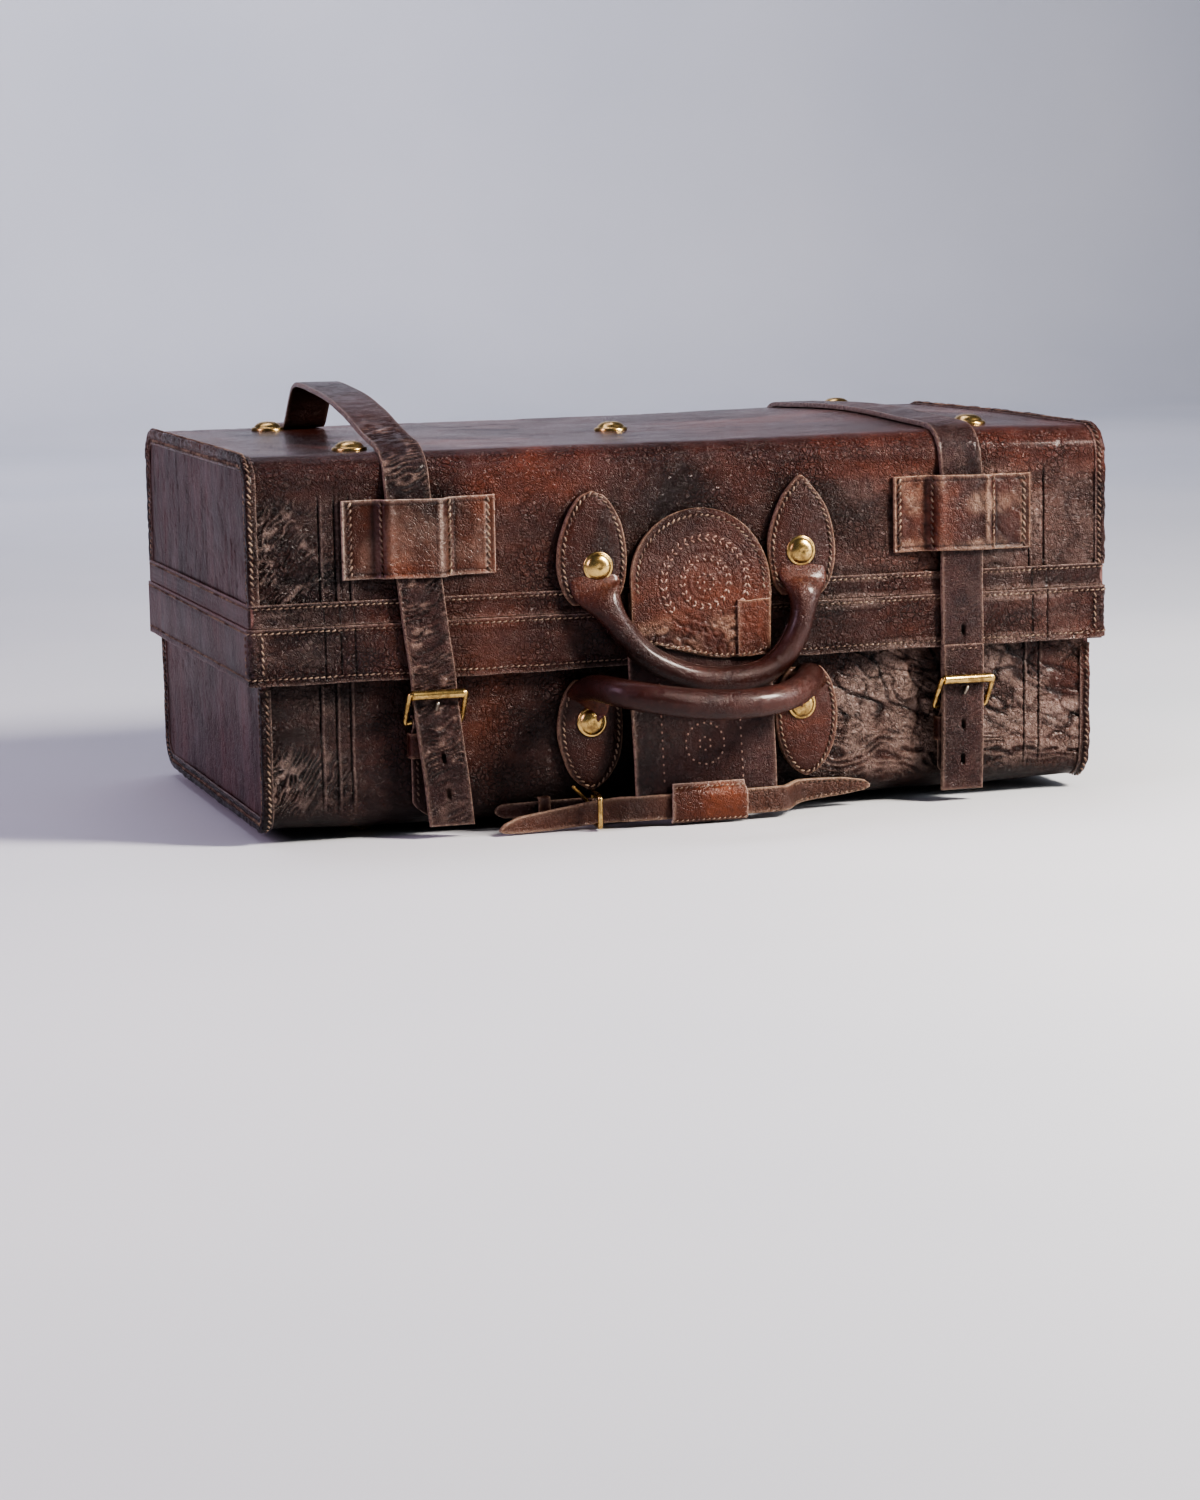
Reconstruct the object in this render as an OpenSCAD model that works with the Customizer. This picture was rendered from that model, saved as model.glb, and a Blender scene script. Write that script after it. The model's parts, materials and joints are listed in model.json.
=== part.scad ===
// Leather travelling case with a hinged lid, luggage straps and a handle on each half.
// Frame: origin on the resting plane under the middle of the case, +Z up,
// -Y towards the handles, +X to the right when facing the handles. Millimetres.

/* [Case] */
// Half length of the lid, over its end panels
lid_half = 286; // [270:1:300]
// Distance from the middle to the lid's front face
lid_front = 164; // [150:1:175]
// Distance from the middle to the back face of lid and base
case_back = 163; // [150:1:175]
// Height of the lid's top face above the resting plane
lid_top = 242; // [225:1:260]
// Height of the lid's rim above the resting plane
rim_z = 102; // [95:1:110]
// Half length of the base, over its end panels
base_half = 279; // [264:1:293]
// Distance from the middle to the base's front face
base_front = 156.5; // [143:0.5:167]
// Height of the base's underside above the resting plane
base_bottom = 7; // [5:0.5:10]
// Height that the base's lip rises inside the lid
lip_height = 18; // [12:1:20]
// Radius of the lid's long top edges
lid_edge_r = 20; // [14:1:28]
// Radius of the base's bottom front edge
base_front_r = 12; // [8:1:16]
// Radius of the base's bottom back edge
base_back_r = 22; // [14:1:28]

/* [Walls] */
// Thickness of the body leather
leather_t = 3; // [2.5:0.1:3.5]
// Thickness of the stiffening board
board_t = 1.8; // [1.4:0.1:2]
// Thickness of the cloth lining
lining_t = 0.7; // [0.5:0.1:0.9]
// Width of the stitched binding along each end seam
binding_w = 9; // [7:0.5:12]
// Thickness of the binding
binding_t = 1; // [0.8:0.1:1.2]

/* [Lid band] */
// Height of the seam at the top of the upper band
band_top = 152; // [145:1:158]
// Height of the seam between the upper and lower bands
band_mid = 137; // [125:1:142]
// Thickness of the upper band
band_upper_t = 1.2; // [0.8:0.1:1.5]
// Thickness of the lower band
band_lower_t = 2.4; // [2:0.1:2.6]

/* [Studs] */
// Radius of the domed brass studs
stud_r = 9.8; // [8:0.1:11]
// Height of a stud's dome
stud_h = 4.2; // [3:0.1:5]
// Distance of the corner studs from the middle, along the case
stud_x = 210; // [200:1:212]
// Distance of the corner studs from the middle, across the case
stud_y = 118; // [105:1:125]

/* [Hinges] */
// Distance of the outer hinges from the middle one
hinge_pitch = 190; // [150:1:215]
// Width of one hinge
hinge_w = 26; // [22:1:34]
// Height of one hinge leaf
hinge_leaf_h = 20; // [16:1:26]
// Radius of a hinge knuckle
knuckle_r = 3.2; // [3:0.1:3.4]
// Radius of the hinge pin
hinge_pin_r = 1.5; // [1.2:0.1:1.8]

/* [Handles] */
// Distance of the handles' middle to the right of the case's middle
handle_x = 3; // [0:1:5]
// Half of the distance between a handle's two ends
handle_half = 71; // [66:1:76]
// Radius of the rolled leather handle
handle_r = 8; // [7:0.5:8.5]
// Radius of the handle's bends
handle_bend_r = 46; // [40:1:50]
// Length from the swing axis to where a bend starts
handle_leg = 8.5; // [8.5:0.5:12]
// Half width of the stitched handle patches
patch_half = 22.5; // [19:0.5:25]
// Thickness of the handle patches
patch_t = 5; // [4:0.5:5]

/* [Straps] */
// Width of the luggage straps
strap_w = 29; // [26:0.5:30]
// Thickness of the luggage straps
strap_t = 3.2; // [2.6:0.1:3.4]
// Centre of the left strap on the lid top
strap_left_x = -185; // [-186:0.5:-184]
// Centre of the right strap
strap_right_x = 183.6; // [182:0.2:185]
// Lean of the left strap's front part, in degrees
strap_lean = 6.3; // [4:0.1:6.8]
// Height of the left strap's loose arch above the lid
arch_h = 31; // [20:1:34]
// Height of the lower end of the strap tails
tail_end_z = 8; // [6:1:14]

/* [Buckles] */
// Centre of the left buckle
buckle_left_x = -171.5; // [-172:0.1:-170.6]
// Height of the left buckle's roller
buckle_left_z = 92; // [88:1:94]
// Centre of the right buckle
buckle_right_x = 185; // [183:0.1:185.2]
// Height of the right buckle's roller
buckle_right_z = 81.5; // [78:0.5:86]
// Half of a buckle's outer width
buckle_half = 19.8; // [19.4:0.1:21]
// Drop from the roller to the heel bar
buckle_drop = 18; // [17:0.5:20]
// Width of a chape, the leather that holds a buckle
chape_w = 27; // [22:0.5:28]
// Thickness of a chape
chape_t = 2.4; // [2:0.1:2.6]

/* [Closure] */
// Half width of the tongue
tongue_half = 48; // [44:0.5:48]
// Thickness of the tongue and of the disc over it
tongue_t = 2.6; // [2:0.1:3]
// Height of the top of the round disc
disc_top = 200; // [190:1:206]
// Width of the belt across the tongue
belt_w = 17; // [14:0.5:17]
// Thickness of the belt
belt_t = 3; // [2.4:0.1:3]

/* [Hidden] */
$fn = 64;

// gaps: between bodies, between laid-on leather, and around turning pins
body_gap = 0.6;
face_gap = 0.05;
pin_gap = 0.08;
wall_t = leather_t + board_t + lining_t;
lip_top = rim_z + lip_height;
base_back_top = rim_z - body_gap;
lip_back = case_back - wall_t - 1.5;

// hinge
hinge_y = case_back + knuckle_r + 0.3;
leaf_t = 1.5;
knuckle_l = hinge_w / 3 - 0.3;
leaf_notch = knuckle_r + 0.5;
hinge_places = [-hinge_pitch, 0, hinge_pitch];
small_rivet_r = 2.6;

// handles: each swings about an axis along X
lid_handle_y = -174.5;
lid_handle_z = 145;
lid_handle_lean = 7;
base_handle_y = -167;
base_handle_z = 84;
base_handle_droop = 4;
handle_core_r = 5;
handle_lug_half = 7.5;
handle_lug_r = 7.6;
patch_notch = handle_lug_r + 0.8;
lid_patch_tip = 216;
lid_patch_wide = 165;
lid_patch_end = 142;
base_patch_tip = 25;
base_patch_wide = 74;
base_patch_end = 93;
lid_stud_z = 169;
base_stud_z = 68;

// straps and buckles
front_strap_y = -(lid_front + band_lower_t + 0.2);
lean_height = 165;
strap_left_mid = strap_left_x + 5;
strap_joins_z = 216;
hole_w = 3;
hole_h = 8;
saddle_t = 3;
saddle_z = [165, 214];
saddle_left_x = [-228, -130];
saddle_right_x = [137, 233];
anchor_z = 150;
heel_r = 1.9;
axle_r = 1.6;
roller_r = 3.1;
side_bar = 3.2;
prong_r = 1.2;
heel_y = -(base_front + 2 * pin_gap + heel_r + chape_t);
roller_y = front_strap_y - strap_t - 0.5 - roller_r;
prong_reach = 18.5;
prong_angle = 44;
prong_slot = 6;
chape_left_x = -172;
chape_right_x = 183.6;
chape_end_z = 13;
keeper_t = 2;
keeper_h = 16;
keeper_rise = 6.2;

stud_places = [[-stud_x, -stud_y], [stud_x, -stud_y], [0, 0], [-stud_x, stud_y], [stud_x, stud_y]];

// belt and its buckle
belt_z = 4;
tongue_back_y = -(lid_front + band_lower_t + 0.3);
tongue_flare = 9;
disc_t = 2.2;
disc_foot = rim_z + 4;
loop_t = 2.4;
loop_half = 24;
loop_top = 27;
loop_foot = 1.2;
tongue_top = 160;
tongue_foot = 16;
flare_z = 22;
belt_y = tongue_back_y - tongue_flare - tongue_t - 0.5 - belt_t / 2;
belt_heel = [-68, -(base_front + 2 * pin_gap + heel_r + chape_t)];
belt_frame_reach = 22;
belt_frame_turn = 6;
belt_frame_z = [1.5, 23.5];
belt_chape_w = 12;
belt_tip_x = 121;
belt_sewn_x = 74;
belt_tail_x = -132;
belt_keeper_x = -104;
belt_keeper_w = 8;
belt_keeper_t = 2;
belt_slot_half = 2.6;
belt_prong_turn = -146;
belt_prong_rise = 38;
belt_prong_reach = 25;

leather_dark = "#4a2019";
leather_end = "#4b2430";
leather_trim = "#6a2f1c";
brass_colour = "#b08d46";
steel_colour = "#b9b9b4";
board_colour = "#9b7b57";
cloth_colour = "#a08a68";

// ---- paths and outlines ----
function unit(v) = v / norm(v);
function left_normal(v) = unit([-v[1], v[0]]);
function mitre(p, i) =
    let (
        before = i == 0 ? p[1] - p[0] : p[i] - p[i - 1],
        after = i == len(p) - 1 ? before : p[i + 1] - p[i],
        middle = unit(left_normal(before) + left_normal(after))
    ) middle / (middle * left_normal(before));
// outline of a strip of thickness t along the path p
function strip(p, t) = concat(
    [for (i = [0:len(p) - 1]) p[i] + mitre(p, i) * t / 2],
    [for (i = [len(p) - 1:-1:0]) p[i] - mitre(p, i) * t / 2]
);
function arc(c, r, a0, a1, steps = 6) =
    [for (i = [0:steps]) c + r * [cos(a0 + (a1 - a0) * i / steps), sin(a0 + (a1 - a0) * i / steps)]];

// a (y, z) outline drawn out along X
module along_x(x0, x1) {
    translate([x0, 0, 0]) rotate([90, 0, 90]) linear_extrude(x1 - x0) children();
}

// an (x, z) outline whose back lies at y_back and which is t thick towards the front
module on_front(y_back, t) {
    translate([0, y_back, 0]) rotate([90, 0, 0]) linear_extrude(t) children();
}

module both_ends() {
    children();
    mirror([1, 0, 0]) children();
}

// end view of the lid, drawn in by inset
module lid_outline(inset = 0, bottom = rim_z) {
    f = -lid_front + inset;
    b = case_back - inset;
    t = lid_top - inset;
    r = lid_edge_r - inset;
    translate([f, bottom]) square([b - f, t - r - bottom]);
    translate([f + r, bottom]) square([b - f - 2 * r, t - bottom]);
    translate([f + r, t - r]) circle(r);
    translate([b - r, t - r]) circle(r);
}

// end view of the base, drawn in by inset, with the lip that stands inside the lid
module base_outline(inset = 0, top = base_back_top, lip = lip_top) {
    f = -base_front + inset;
    b = case_back - inset;
    u = base_bottom + inset;
    rf = base_front_r - inset;
    rb = base_back_r - inset;
    translate([f, u + rf]) square([rf, lip - u - rf]);
    translate([f + rf, u]) square([b - rb - f - rf, top - u]);
    translate([f + rf, u + rf]) square([min(b, lip_back) - f - rf, lip - u - rf]);
    translate([b - rb, u + rb]) square([rb, top - u - rb]);
    translate([f + rf, u + rf]) circle(rf);
    translate([b - rb, u + rb]) circle(rb);
}

// a low dome standing on z = 0
module dome(r, h) {
    ball = (r * r + h * h) / (2 * h);
    intersection() {
        translate([0, 0, h - ball]) sphere(ball);
        cylinder(h = h, r = r);
    }
}

// ---- base ----
module base_wrap() {
    color(leather_dark) along_x(-base_half + leather_t, base_half - leather_t)
        difference() {
            base_outline();
            base_outline(leather_t, lip_top + 1, lip_top + 1);
            translate([-base_front + leather_t, rim_z - body_gap])
                square([base_front + case_back, lip_height + 5]);
        }
}

module base_end() {
    color(leather_end) along_x(base_half - leather_t, base_half) base_outline();
}

module base_end_right() { base_end(); }
module base_end_left() { mirror([1, 0, 0]) base_end(); }

module base_front_board() {
    color(board_colour)
        translate([-base_half + wall_t, -base_front + leather_t, base_bottom + base_front_r])
            cube([2 * (base_half - wall_t), board_t, lip_top - base_bottom - base_front_r - 1]);
}

module base_back_board() {
    color(board_colour)
        translate([-base_half + wall_t, case_back - leather_t - board_t, base_bottom + base_back_r])
            cube([2 * (base_half - wall_t), board_t, base_back_top - base_bottom - base_back_r - 1]);
}

module base_end_boards() {
    color(board_colour) both_ends()
        along_x(base_half - leather_t - board_t, base_half - leather_t - face_gap)
            base_outline(leather_t + face_gap, base_back_top - 1, lip_top - 1);
}

module base_floor_board() {
    color(board_colour)
        translate([-base_half + wall_t, -base_front + base_front_r, base_bottom + leather_t])
            cube([2 * (base_half - wall_t), base_front + case_back - base_front_r - base_back_r, board_t]);
}

module base_lining() {
    outer = leather_t + board_t + face_gap;
    color(cloth_colour) difference() {
        along_x(-base_half + outer, base_half - outer)
            base_outline(outer, base_back_top - 1, lip_top - 1.2);
        along_x(-base_half + wall_t, base_half - wall_t)
            base_outline(wall_t, lip_top + 1, lip_top + 1);
        translate([-base_half + wall_t, -base_front + wall_t, base_back_top - 8])
            cube([2 * (base_half - wall_t), base_front + case_back, 60]);
    }
}

module base_bindings() {
    color(leather_dark) both_ends() difference() {
        along_x(base_half - binding_w, base_half + binding_t)
            base_outline(-binding_t, rim_z - 3, rim_z - 3);
        along_x(base_half - binding_w - 1, base_half + face_gap)
            base_outline(-face_gap, rim_z + 30, rim_z + 30);
        along_x(base_half - 1, base_half + 5)
            base_outline(binding_w, rim_z + 30, rim_z + 30);
    }
}

// turned-over leather along the top of the lip, on the front and both ends
module base_lip_binding() {
    t = 0.7;
    deep = 9;
    x_out = base_half;
    y_out = base_front;
    y_end = lip_back - 1;
    color(leather_trim) difference() {
        translate([-x_out - t, -y_out - t, lip_top - deep])
            cube([2 * (x_out + t), y_out + t + y_end, deep + t]);
        translate([-x_out - face_gap, -y_out - face_gap, lip_top - deep - 1])
            cube([2 * (x_out + face_gap), y_out + y_end + 5, deep + 1 + face_gap]);
        translate([-x_out + wall_t, -y_out + wall_t, lip_top - deep - 1])
            cube([2 * (x_out - wall_t), y_out + y_end + 5, deep + 5]);
    }
}

module foot_studs() {
    ball = stud_r + 0.4;
    color(brass_colour)
        for (p = stud_places)
            translate([p[0], p[1], 0]) intersection() {
                translate([0, 0, base_bottom]) sphere(ball);
                cylinder(h = base_bottom - face_gap, r = stud_r);
            }
}

// ---- handles and what holds them ----
// pointed patch with its tip at z_tip and an open notch at the handle's end
module patch_outline(x, z_tip, z_wide, z_end, z_axis) {
    tall = abs(z_tip - z_wide);
    big_r = (tall * tall + patch_half * patch_half) / (2 * patch_half);
    way = z_tip > z_wide ? 1 : -1;
    difference() {
        union() {
            intersection() {
                translate([x + big_r - patch_half, z_wide]) circle(big_r);
                translate([x - big_r + patch_half, z_wide]) circle(big_r);
                translate([x - patch_half, min(z_tip, z_wide)]) square([2 * patch_half, tall]);
            }
            translate([x - patch_half, min(z_end, z_wide)])
                square([2 * patch_half, abs(z_end - z_wide)]);
        }
        translate([x - handle_lug_half - 0.8, z_axis - patch_notch - (way > 0 ? 30 : 0)])
            square([2 * handle_lug_half + 1.6, 2 * patch_notch + 30]);
    }
}

module at_handle_ends() {
    for (s = [-1, 1]) translate([handle_x + s * handle_half, 0, 0]) children();
}

module lid_handle_patches() {
    color(leather_trim) at_handle_ends() on_front(-lid_front - face_gap, patch_t) difference() {
        patch_outline(0, lid_patch_tip, lid_patch_wide, lid_patch_end, lid_handle_z);
        // cleared over the bands, which lie behind the patch's lower end
        translate([-patch_half - 1, rim_z]) square([2 * patch_half + 2, band_top - rim_z + 0.2]);
    }
    color(leather_trim) at_handle_ends()
        on_front(-lid_front - band_upper_t - 0.1, patch_t - band_upper_t - 0.05) intersection() {
            patch_outline(0, lid_patch_tip, lid_patch_wide, lid_patch_end, lid_handle_z);
            translate([-patch_half - 1, rim_z]) square([2 * patch_half + 2, band_top - rim_z + 2]);
        }
}

module base_handle_patches() {
    color(leather_trim) at_handle_ends() on_front(-base_front - face_gap, patch_t)
        patch_outline(0, base_patch_tip, base_patch_wide, base_patch_end, base_handle_z);
}

module patch_studs(y, z) {
    color(brass_colour) at_handle_ends()
        translate([0, y, z]) rotate([90, 0, 0]) dome(stud_r, stud_h);
}

module lid_handle_studs() { patch_studs(-lid_front - face_gap * 2 - patch_t, lid_stud_z); }
module base_handle_studs() { patch_studs(-base_front - face_gap * 2 - patch_t, base_stud_z); }

// U of round section hanging from an axis along X through the origin
module handle_u(r, leg_from) {
    for (s = [0, 1]) mirror([s, 0, 0]) {
        translate([handle_half, 0, -handle_leg]) cylinder(h = handle_leg - leg_from, r = r);
        translate([handle_half - handle_bend_r, 0, -handle_leg]) rotate([90, 0, 0])
            rotate([0, 0, -90]) rotate_extrude(angle = 90) translate([handle_bend_r, 0]) circle(r);
    }
    translate([handle_bend_r - handle_half, 0, -handle_leg - handle_bend_r]) rotate([0, 90, 0])
        cylinder(h = 2 * (handle_half - handle_bend_r), r = r);
}

module handle_cover() {
    color(leather_dark) difference() {
        handle_u(handle_r, handle_lug_r + 0.2);
        handle_u(handle_core_r + 0.05, 0);
    }
}

module handle_core() {
    color(leather_trim) {
        handle_u(handle_core_r, 0);
        for (s = [-1, 1]) translate([s * handle_half - handle_lug_half, 0, 0])
            rotate([0, 90, 0]) cylinder(h = 2 * handle_lug_half, r = handle_lug_r);
    }
}

module at_lid_handle() {
    translate([handle_x, lid_handle_y, lid_handle_z]) rotate([-lid_handle_lean, 0, 0]) children();
}

module at_base_handle() {
    translate([handle_x, base_handle_y, base_handle_z]) rotate([base_handle_droop - 90, 0, 0])
        children();
}

module lid_handle_cover() { at_lid_handle() handle_cover(); }
module lid_handle_core() { at_lid_handle() handle_core(); }
module base_handle_cover() { at_base_handle() handle_cover(); }
module base_handle_core() { at_base_handle() handle_core(); }

// ---- hinges ----
module hinge_leaf(up) {
    way = up ? 1 : -1;
    for (x = hinge_places) translate([x, 0, 0]) difference() {
        union() {
            translate([-hinge_w / 2, case_back + face_gap, up ? rim_z : rim_z - hinge_leaf_h])
                cube([hinge_w, leaf_t, hinge_leaf_h]);
            for (k = up ? [0] : [-1, 1])
                translate([k * hinge_w / 3 - knuckle_l / 2, hinge_y, rim_z]) rotate([0, 90, 0])
                    cylinder(h = knuckle_l, r = knuckle_r);
        }
        for (k = up ? [-1, 1] : [0])
            translate([k * hinge_w / 3 - hinge_w / 6 - 0.15, case_back - 1,
                       rim_z - leaf_notch])
                cube([hinge_w / 3 + 0.3, 9, 2 * leaf_notch]);
        translate([-hinge_w, hinge_y, rim_z]) rotate([0, 90, 0])
            cylinder(h = 2 * hinge_w, r = hinge_pin_r + pin_gap);
    }
}

module hinge_leaves_base() { color(brass_colour) hinge_leaf(false); }
module hinge_leaves_lid() { color(brass_colour) hinge_leaf(true); }

module hinge_pins() {
    color(steel_colour) for (x = hinge_places)
        translate([x - hinge_w / 2 - 0.6, hinge_y, rim_z]) rotate([0, 90, 0]) {
            cylinder(h = hinge_w + 1.2, r = hinge_pin_r);
            translate([0, 0, -0.9]) cylinder(h = 0.9, r = hinge_pin_r + 0.9);
            translate([0, 0, hinge_w + 1.2]) cylinder(h = 0.9, r = hinge_pin_r + 0.9);
        }
}

module hinge_rivets(z) {
    color(brass_colour) for (x = hinge_places, s = [-1, 1])
        translate([x + s * hinge_w / 3.6, case_back + leaf_t + 2 * face_gap, z]) rotate([-90, 0, 0])
            dome(small_rivet_r, 1.2);
}

module hinge_rivets_base() { hinge_rivets(rim_z - hinge_leaf_h * 0.62); }
module hinge_rivets_lid() { hinge_rivets(rim_z + hinge_leaf_h * 0.62); }

// ---- lid ----
module lid_wrap() {
    color(leather_dark) along_x(-lid_half + leather_t, lid_half - leather_t) difference() {
        lid_outline();
        lid_outline(leather_t, rim_z - 5);
    }
}

module lid_end() {
    color(leather_end) along_x(lid_half - leather_t, lid_half) lid_outline();
}

module lid_end_right() { lid_end(); }
module lid_end_left() { mirror([1, 0, 0]) lid_end(); }

module lid_side_board(y) {
    color(board_colour) translate([-lid_half + wall_t, y, rim_z + 1])
        cube([2 * (lid_half - wall_t), board_t, lid_top - lid_edge_r - rim_z - 1]);
}

module lid_front_board() { lid_side_board(-lid_front + leather_t); }
module lid_back_board() { lid_side_board(case_back - leather_t - board_t); }

module lid_end_boards() {
    color(board_colour) both_ends()
        along_x(lid_half - leather_t - board_t, lid_half - leather_t - face_gap)
            lid_outline(leather_t + face_gap, rim_z + 1);
}

module lid_top_board() {
    color(board_colour)
        translate([-lid_half + wall_t, -lid_front + lid_edge_r, lid_top - leather_t - board_t])
            cube([2 * (lid_half - wall_t), lid_front + case_back - 2 * lid_edge_r, board_t]);
}

module lid_lining() {
    outer = leather_t + board_t + face_gap;
    color(cloth_colour) difference() {
        along_x(-lid_half + outer, lid_half - outer) lid_outline(outer, rim_z + 1);
        along_x(-lid_half + wall_t, lid_half - wall_t) lid_outline(wall_t, rim_z - 1);
    }
}

module lid_bindings() {
    color(leather_dark) both_ends() difference() {
        along_x(lid_half - binding_w, lid_half + binding_t)
            lid_outline(-binding_t, band_top + 0.3);
        along_x(lid_half - binding_w - 1, lid_half + face_gap) lid_outline(-face_gap, rim_z - 5);
        along_x(lid_half - 1, lid_half + 5) lid_outline(binding_w, rim_z - 5);
    }
}

// strip around the front and both ends of the lid
module lid_band(z0, z1, t) {
    color(leather_dark) translate([0, 0, z0]) linear_extrude(z1 - z0) difference() {
        translate([-lid_half - t, -lid_front - t])
            square([2 * (lid_half + t), lid_front + t + case_back]);
        translate([-lid_half - face_gap, -lid_front - face_gap])
            square([2 * (lid_half + face_gap), lid_front + case_back + 5]);
    }
}

module lid_band_upper() { lid_band(band_mid + 0.1, band_top, band_upper_t); }
module lid_band_lower() { lid_band(rim_z, band_mid, band_lower_t); }

module top_studs() {
    color(brass_colour)
        for (p = stud_places)
            translate([p[0], p[1], lid_top + face_gap]) dome(stud_r, stud_h);
}

// ---- luggage straps ----
// the strap's centreline round the back edge and round the front edge of the lid
edge_path_r = lid_edge_r + 0.2 + strap_t / 2;
top_y = lid_top + 0.2 + strap_t / 2;
back_path = concat(
    [[case_back + 0.2 + strap_t / 2, anchor_z]],
    arc([case_back - lid_edge_r, lid_top - lid_edge_r], edge_path_r, 0, 90)
);
front_path = arc([-lid_front + lid_edge_r, lid_top - lid_edge_r], edge_path_r, 90, 180);
front_tuck = arc([-lid_front + lid_edge_r, lid_top - lid_edge_r], edge_path_r, 140, 180, 4);
arch_path = [
    [112, top_y], [105, top_y + 5], [101, top_y + arch_h * 0.55], [95, top_y + arch_h * 0.9],
    [80, top_y + arch_h], [0, top_y + arch_h + 1], [-70, top_y + arch_h], [-105, top_y + arch_h - 4],
    [-128, top_y + arch_h * 0.55], [-148, top_y + 6]
];
strap_left_path = concat(back_path, arch_path, front_tuck, [[-lid_front - 0.2 - strap_t / 2, 206]]);
strap_right_path = concat(back_path, front_path, [[-lid_front - 0.2 - strap_t / 2, 206]]);

// the part of a strap that hangs down the lid's front to the rim
module strap_front(z0, z1) {
    on_front(front_strap_y, strap_t) translate([-strap_w / 2, z0]) square([strap_w, z1 - z0]);
}

module leaning() {
    translate([strap_left_mid, 0, lean_height]) rotate([0, -strap_lean, 0])
        translate([0, 0, -lean_height]) children();
}

module strap_left() {
    color(leather_dark) {
        along_x(strap_left_x - strap_w / 2, strap_left_x + strap_w / 2)
            polygon(strip(strap_left_path, strap_t));
        leaning() strap_front(rim_z + 2, strap_joins_z);
    }
}

module strap_right() {
    color(leather_dark) {
        along_x(strap_right_x - strap_w / 2, strap_right_x + strap_w / 2)
            polygon(strip(strap_right_path, strap_t));
        translate([strap_right_x, 0, 0]) difference() {
            strap_front(rim_z + 2, strap_joins_z);
            strap_holes([113]);
        }
    }
}

// oblong holes along the middle of a strap, at the heights given
module strap_holes(heights) {
    for (z = heights) on_front(front_strap_y + 1, strap_t + 2) {
        translate([-hole_w / 2, z - hole_h / 2 + hole_w / 2]) square([hole_w, hole_h - hole_w]);
        for (s = [-1, 1]) translate([0, z + s * (hole_h - hole_w) / 2]) circle(hole_w / 2);
    }
}

// room for the prong where it passes through the strap
module prong_hole(x, roller_z) {
    translate([x, heel_y, roller_z - buckle_drop]) rotate([prong_angle, 0, 0])
        cylinder(h = prong_reach, r = prong_r + 0.7);
}

module strap_left_tail() {
    color(leather_dark) difference() {
        leaning() difference() {
            strap_front(tail_end_z, rim_z + 1.8);
            strap_holes([28, 51]);
        }
        prong_hole(buckle_left_x, buckle_left_z);
    }
}

module strap_right_tail() {
    color(leather_dark) difference() {
        translate([strap_right_x, 0, 0]) difference() {
            strap_front(tail_end_z, rim_z + 1.8);
            strap_holes([28, 51]);
        }
        prong_hole(buckle_right_x, buckle_right_z);
    }
}

// stitched patch with a raised loop that the strap runs through
module saddle(ends, middle) {
    low = -lid_front - 0.1 - saddle_t / 2;
    high = front_strap_y - strap_t - 0.5 - saddle_t / 2;
    half = strap_w / 2 + 5.5;
    path = [
        [ends[0], low], [middle - half - 3, low], [middle - half, high],
        [middle + half, high], [middle + half + 3, low], [ends[1], low]
    ];
    color(leather_trim) translate([0, 0, saddle_z[0]]) linear_extrude(saddle_z[1] - saddle_z[0])
        polygon(strip(path, saddle_t));
}

module saddle_left() { saddle(saddle_left_x, strap_left_x + 2); }
module saddle_right() { saddle(saddle_right_x, strap_right_x); }

module strap_anchor_rivets() {
    color(brass_colour) for (x = [strap_left_x, strap_right_x], z = [anchor_z + 8, anchor_z + 26])
        translate([x, case_back + 0.3 + strap_t, z]) rotate([-90, 0, 0]) dome(4.5, 2);
}

// ---- strap buckles ----
module chape(x, heel_z) {
    color(leather_dark) difference() {
        union() {
            along_x(x - chape_w / 2, x + chape_w / 2) difference() {
                union() {
                    translate([heel_y, heel_z]) circle(heel_r + pin_gap + chape_t);
                    translate([-base_front - face_gap - chape_t, heel_z - 12]) square([chape_t, 12]);
                }
                translate([heel_y, heel_z]) circle(heel_r + pin_gap);
            }
            on_front(-base_front - face_gap, chape_t) polygon([
                [x - chape_w / 2, heel_z - 8], [x + chape_w / 2, heel_z - 8],
                [x + chape_w / 2, chape_end_z + 9], [x, chape_end_z], [x - chape_w / 2, chape_end_z + 9]
            ]);
        }
        translate([0, heel_y, heel_z]) rotate([0, 90, 0]) translate([0, 0, x - 50])
            cylinder(h = 100, r = heel_r + pin_gap);
    }
}

// chape with a slot in its fold for the prong
module slotted_chape(x, prong_x, heel_z) {
    difference() {
        chape(x, heel_z);
        translate([prong_x - prong_slot / 2, heel_y - 8, heel_z - 4.6])
            cube([prong_slot, 16, 12]);
    }
}

module buckle_chapes() {
    slotted_chape(chape_left_x, buckle_left_x, buckle_left_z - buckle_drop);
    slotted_chape(chape_right_x, buckle_right_x, buckle_right_z - buckle_drop);
}

module keeper(x, z_top) {
    half = chape_w / 2 + 1;
    color(leather_trim) translate([x, -base_front - face_gap, z_top - keeper_h])
        linear_extrude(keeper_h) difference() {
            translate([-half - keeper_t, -chape_t - keeper_rise])
                square([2 * (half + keeper_t), chape_t + keeper_rise]);
            translate([-half, -chape_t - keeper_rise + keeper_t]) square([2 * half, chape_t + 5]);
        }
}

module strap_keepers() {
    keeper(chape_left_x, buckle_left_z - buckle_drop - 7);
    keeper(chape_right_x, buckle_right_z - buckle_drop - 7);
}

frame_angle = atan2(heel_y - roller_y, buckle_drop);
frame_l = norm([heel_y - roller_y, buckle_drop]);

// places children with the heel bar at the origin and the frame standing along +Z
module at_buckle(x, roller_z) {
    translate([x, heel_y, roller_z - buckle_drop]) rotate([frame_angle, 0, 0]) children();
}

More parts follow.
